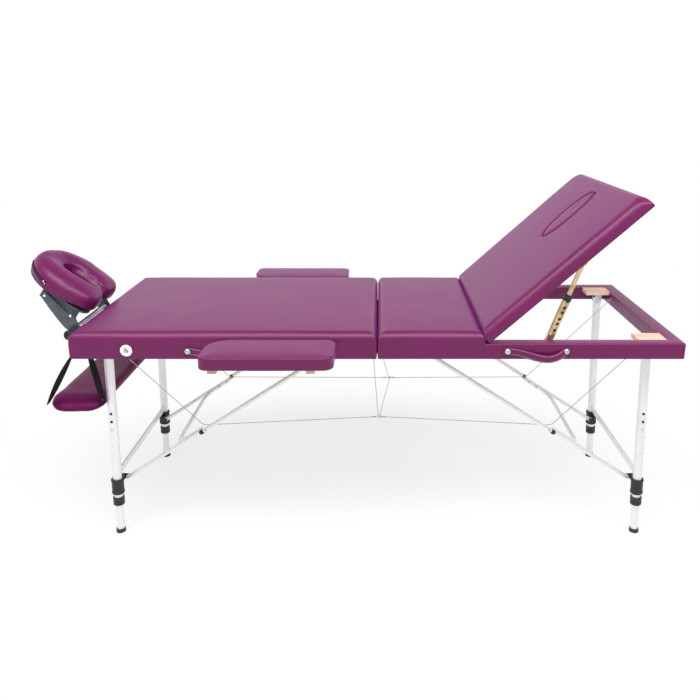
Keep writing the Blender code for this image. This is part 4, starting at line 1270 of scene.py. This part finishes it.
def flat_plate(draft, outline, y_low, y_high):
    """A flat plate standing in the X-Z plane, between two Y places."""
    loft(draft, [[Vector((x, y, z)) for x, z in outline] for y in sorted((y_low, y_high))], closed=False)


def strut_place():
    """A stay's own place: its foot is the origin and its x axis runs up to its head."""
    way = STRUT_HEAD - STRUT_FOOT
    turn = Matrix.Rotation(-math.atan2(way.z, way.x), 4, "Y")
    return SHIFT @ Matrix.Translation(STRUT_FOOT) @ turn


def make_strut_fittings():
    """The stays' head brackets under the board, their foot brackets, and the pins of both."""
    board = BOARD_Z[0]
    head_plate = arc((0.7081, 0.6938), 0.0092, 180, 360, 10)
    head_plate += [(0.7230, board - 0.0015), (0.7330, board), (0.6830, board), (0.6930, board - 0.0015)]
    x, z = STRUT_FOOT.x, STRUT_FOOT.z
    base = rounded((x - 0.024, z - 0.020), (x + 0.024, z + 0.0145), (0.004,) * 4, 0, (2, 2), 4)
    lug = rounded((x - 0.011, z - 0.011), (x + 0.011, z + 0.0120), (0.010,) * 4, 0, (2, 2), 5)
    rivet = [
        (0, -0.0022), (0.0050, -0.0020), (0.0058, -0.0006), (0.0058, 0), (0.0032, 0.0002),
        (0.0032, 0.0218), (0.0056, 0.0219), (0.0056, 0.0230), (0.0040, 0.0240), (0, 0.0242)]
    bolt = [
        (0, -0.0030), (0.0046, -0.0028), (0.0054, -0.0010), (0.0054, 0.0008), (0.0031, 0.0010),
        (0.0031, 0.0242), (0, 0.0244)]
    for side_name, side in SIDES.items():
        name = f"strut_{side_name}_"
        ears, foot = bmesh.new(), bmesh.new()
        for y in (0.2820, 0.3018):
            flat_plate(ears, head_plate, side * y, side * (y + 0.0020))
        raised(ears)
        edge(shaped(name + "head_bracket", ears, "gold_zinc", "backrest", 30), 0.0006)
        spots = [(Vector((STRUT_HEAD.x, side * 0.2820, STRUT_HEAD.z)), (0, side, 0))]
        turned(name + "head_rivet", spots, rivet, 18, "steel", "backrest", 30)
        flat_plate(foot, base, side * 0.3047, side * 0.3065)
        flat_plate(foot, lug, side * 0.2826, side * 0.2844)
        edge(shaped(name + "foot_bracket", foot, "steel", "back_half", 30), 0.0005)
        spots = [(Vector((x, side * 0.2815, z)), (0, side, 0))]
        turned(name + "foot_bolt", spots, bolt, 18, "steel", "back_half", 30)
        make_strut_guide(side_name, side)
        make_strut_notch_shades(side_name, side)


def make_strut_notch_shades(side_name, side):
    """Thin dark plates on the channel's faces, painted shade where the ratchet's punched notches open
    into it, and the rivets that pin its inner rail.
    """
    faces = [(side * (STRUT_Y + 0.0075), side), (side * (STRUT_Y - 0.0075), -side)]
    notches, rivets = bmesh.new(), bmesh.new()
    for k in range(6):
        x = 0.040 + 0.019 * k + 0.003 * (k % 2)
        outline = [
            (x, -0.0012), (x + 0.0045, -0.0062), (x + 0.0095, -0.0062), (x + 0.0110, -0.0018),
            (x + 0.0072, 0.0002), (x + 0.0030, 0.0020)]
        for level, _ in faces:
            flat_plate(notches, outline, level - 0.0003, level + 0.0003)
    rivet = [(0, -0.0003), (0.0030, -0.0003), (0.0031, 0.0005), (0.0022, 0.0013), (0, 0.0015)]
    for x in (0.008, 0.030, CHANNEL_LENGTH - 0.034):
        for level, out in faces:
            lathe(rivets, axis_place(Vector((x, level, 0.0048)), (0, out, 0)), rivet, 14)
    # The notch plates use the dark zip-tape material as painted shade.
    for label, draft, material in (("notches", notches, "zip_tape_and_notch_shade"), ("rivets", rivets, "steel")):
        name = f"strut_{side_name}_{label}"
        shaped(name, draft, material, "strut_channels", place=strut_place())


def make_strut_guide(side_name, side):
    """The black guide at the channel's open end, where the rod slides in."""
    inner, outer = (0.0102, 0.0077), (0.0112, 0.0084)
    start, stop = CHANNEL_LENGTH - 0.017, CHANNEL_LENGTH + 0.0025
    rings = []
    for (high, wide), x in ((outer, start), (outer, stop), (inner, stop), (inner, start)):
        outline = rounded((-high, -wide), (high, wide), (0.0015,) * 4, 0, (1, 1), 2)
        rings.append([Vector((x, side * STRUT_Y + v, u)) for u, v in outline])
    draft = bmesh.new()
    loft(draft, rings, closed=True)
    name = f"strut_{side_name}_guide"
    shaped(name, draft, "black_plastic", "strut_channels", 30, place=strut_place())


def edge(made, width):
    """A worn edge on a stamped or moulded piece."""
    worn = made.modifiers.new("edge", "BEVEL")
    worn.width = width
    worn.segments = 2
    worn.limit_method = "ANGLE"


# ---- face cradle ----

def tapered(p, q, p_radius, q_radius):
    """A link's outline with a different round at each end."""
    turn = math.degrees(math.atan2(q[1] - p[1], q[0] - p[0]))
    return arc(q, q_radius, turn - 90, turn + 90, 10) + arc(p, p_radius, turn + 90, turn + 270, 10)


def arm_outline(a, c):
    """The moulded arm: narrow at the cushion's pivot, then bowed and broad down to the clamp."""
    outline = arc(a, 0.0118, 20, 200, 8)
    for pull, stop, steps in (
            ((a[0] + 0.018, a[1] - 0.060), (c[0] - 0.040, c[1] + 0.004), 8),
            ((c[0] - 0.028, c[1] - 0.014), (c[0] - 0.004, c[1] - 0.017), 6)):
        outline += bent(outline[-1], pull, stop, steps)
    outline += arc(c, 0.0165, -80, 60, 7)
    for pull, stop, steps in (
            ((c[0] - 0.012, c[1] + 0.026), (c[0] - 0.026, c[1] + 0.036), 5),
            ((a[0] + 0.038, a[1] - 0.040), (a[0] + 0.011, a[1] + 0.004), 8)):
        outline += bent(outline[-1], pull, stop, steps)
    return outline[:-1]


def make_cradle_details():
    """Moulded cheeks over the cradle's arms and links, with a rivet at each pivot."""
    arm, link, outside = 0.1296, 0.1318, 0.1336
    a, b, c = ((p.x, p.z) for p in (TILT_PIVOT, LINK_RIVET, CRADLE_PIVOT))
    pivots = (("tilt", TILT_PIVOT, link), ("link", LINK_RIVET, outside), ("pivot", CRADLE_PIVOT, outside))
    rivet = [(0, -0.0004), (0.0042, -0.0004), (0.0043, 0.0006), (0.0034, 0.0016), (0, 0.0020)]
    for side_name, side in SIDES.items():
        name = f"cradle_{side_name}_"
        cheek = bmesh.new()
        flat_plate(cheek, arm_outline(a, c), side * arm, side * link)
        flat_plate(cheek, tapered(c, b, 0.0150, 0.0095), side * link, side * outside)
        edge(shaped(name + "cheek", cheek, "slate_plastic", "headrest_arms", 30), 0.0008)
        for label, pivot, out in pivots:
            spots = [(Vector((pivot.x, side * out, pivot.z)), (0, side, 0))]
            turned(f"{name}{label}_rivet", spots, rivet, 18, "white_cap", "headrest_arms", 50, "steel")


def make_clamp_knob():
    """The round black clamp lever beside the cradle's pivot, with a grooved face."""
    face = -0.1372
    x, z = CRADLE_PIVOT.x, CRADLE_PIVOT.z
    knob = (x - 0.020, z - 0.024)
    draft = bmesh.new()
    flat_plate(draft, tapered((x, z), knob, 0.0105, 0.0135), face, -0.1420)
    lathe(draft, axis_place(Vector((knob[0], face, knob[1])), (0, -1, 0)), [
        (0, 0), (0.0150, 0), (0.0172, 0.0012), (0.0176, 0.0060), (0.0168, 0.0085), (0.0150, 0.0096),
        (0.0128, 0.0096), (0.0120, 0.0080), (0.0104, 0.0080), (0.0096, 0.0094), (0.0060, 0.0098),
        (0.0052, 0.0084), (0, 0.0082)], 40)
    made = shaped("cradle_clamp_knob", draft, "black_plastic", "headrest_cam", 35, ["headrest_cam"])
    edge(made, 0.0006)


# ---- carried-over CAD nodes ----

def finish_cad_nodes():
    """Gives every CAD part that still shows its own procedural material."""
    choices = {
        "leg_frame": "aluminium", "stay_frame": "aluminium", "frame": "wood", "bars": "wood",
        "deck": "plywood", "board": "plywood", "strap": "webbing", "channel": "gold_zinc",
        "rod": "gold_zinc", "collar": "black_plastic", "foot": "rubber", "plate": "slate_plastic",
        "arms": "slate_plastic", "stay": "aluminium", "extension": "aluminium",
    }
    for name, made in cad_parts.items():
        material = next((m for word, m in choices.items() if name.endswith(word)), "steel")
        made.data.materials.clear()
        made.data.materials.append(MATERIALS[material])


place_camera()
light_studio()
MATERIALS = make_materials()
lay_floor()
finish_cad_nodes()
make_table_covers()
make_fold_gap_shade_sheet()
make_rail_cover()
make_backrest()
make_face_cushion()
make_armrest_pads()
make_sling_pad()
make_sling_straps()
make_side_discs()
for end_name, end_sign in ENDS.items():
    make_handle(end_name, end_sign)
    make_leg_details(end_name, end_sign)
    make_stay_details(end_name, end_sign)
make_cables()
make_strut_fittings()
make_cradle_details()
make_clamp_knob()
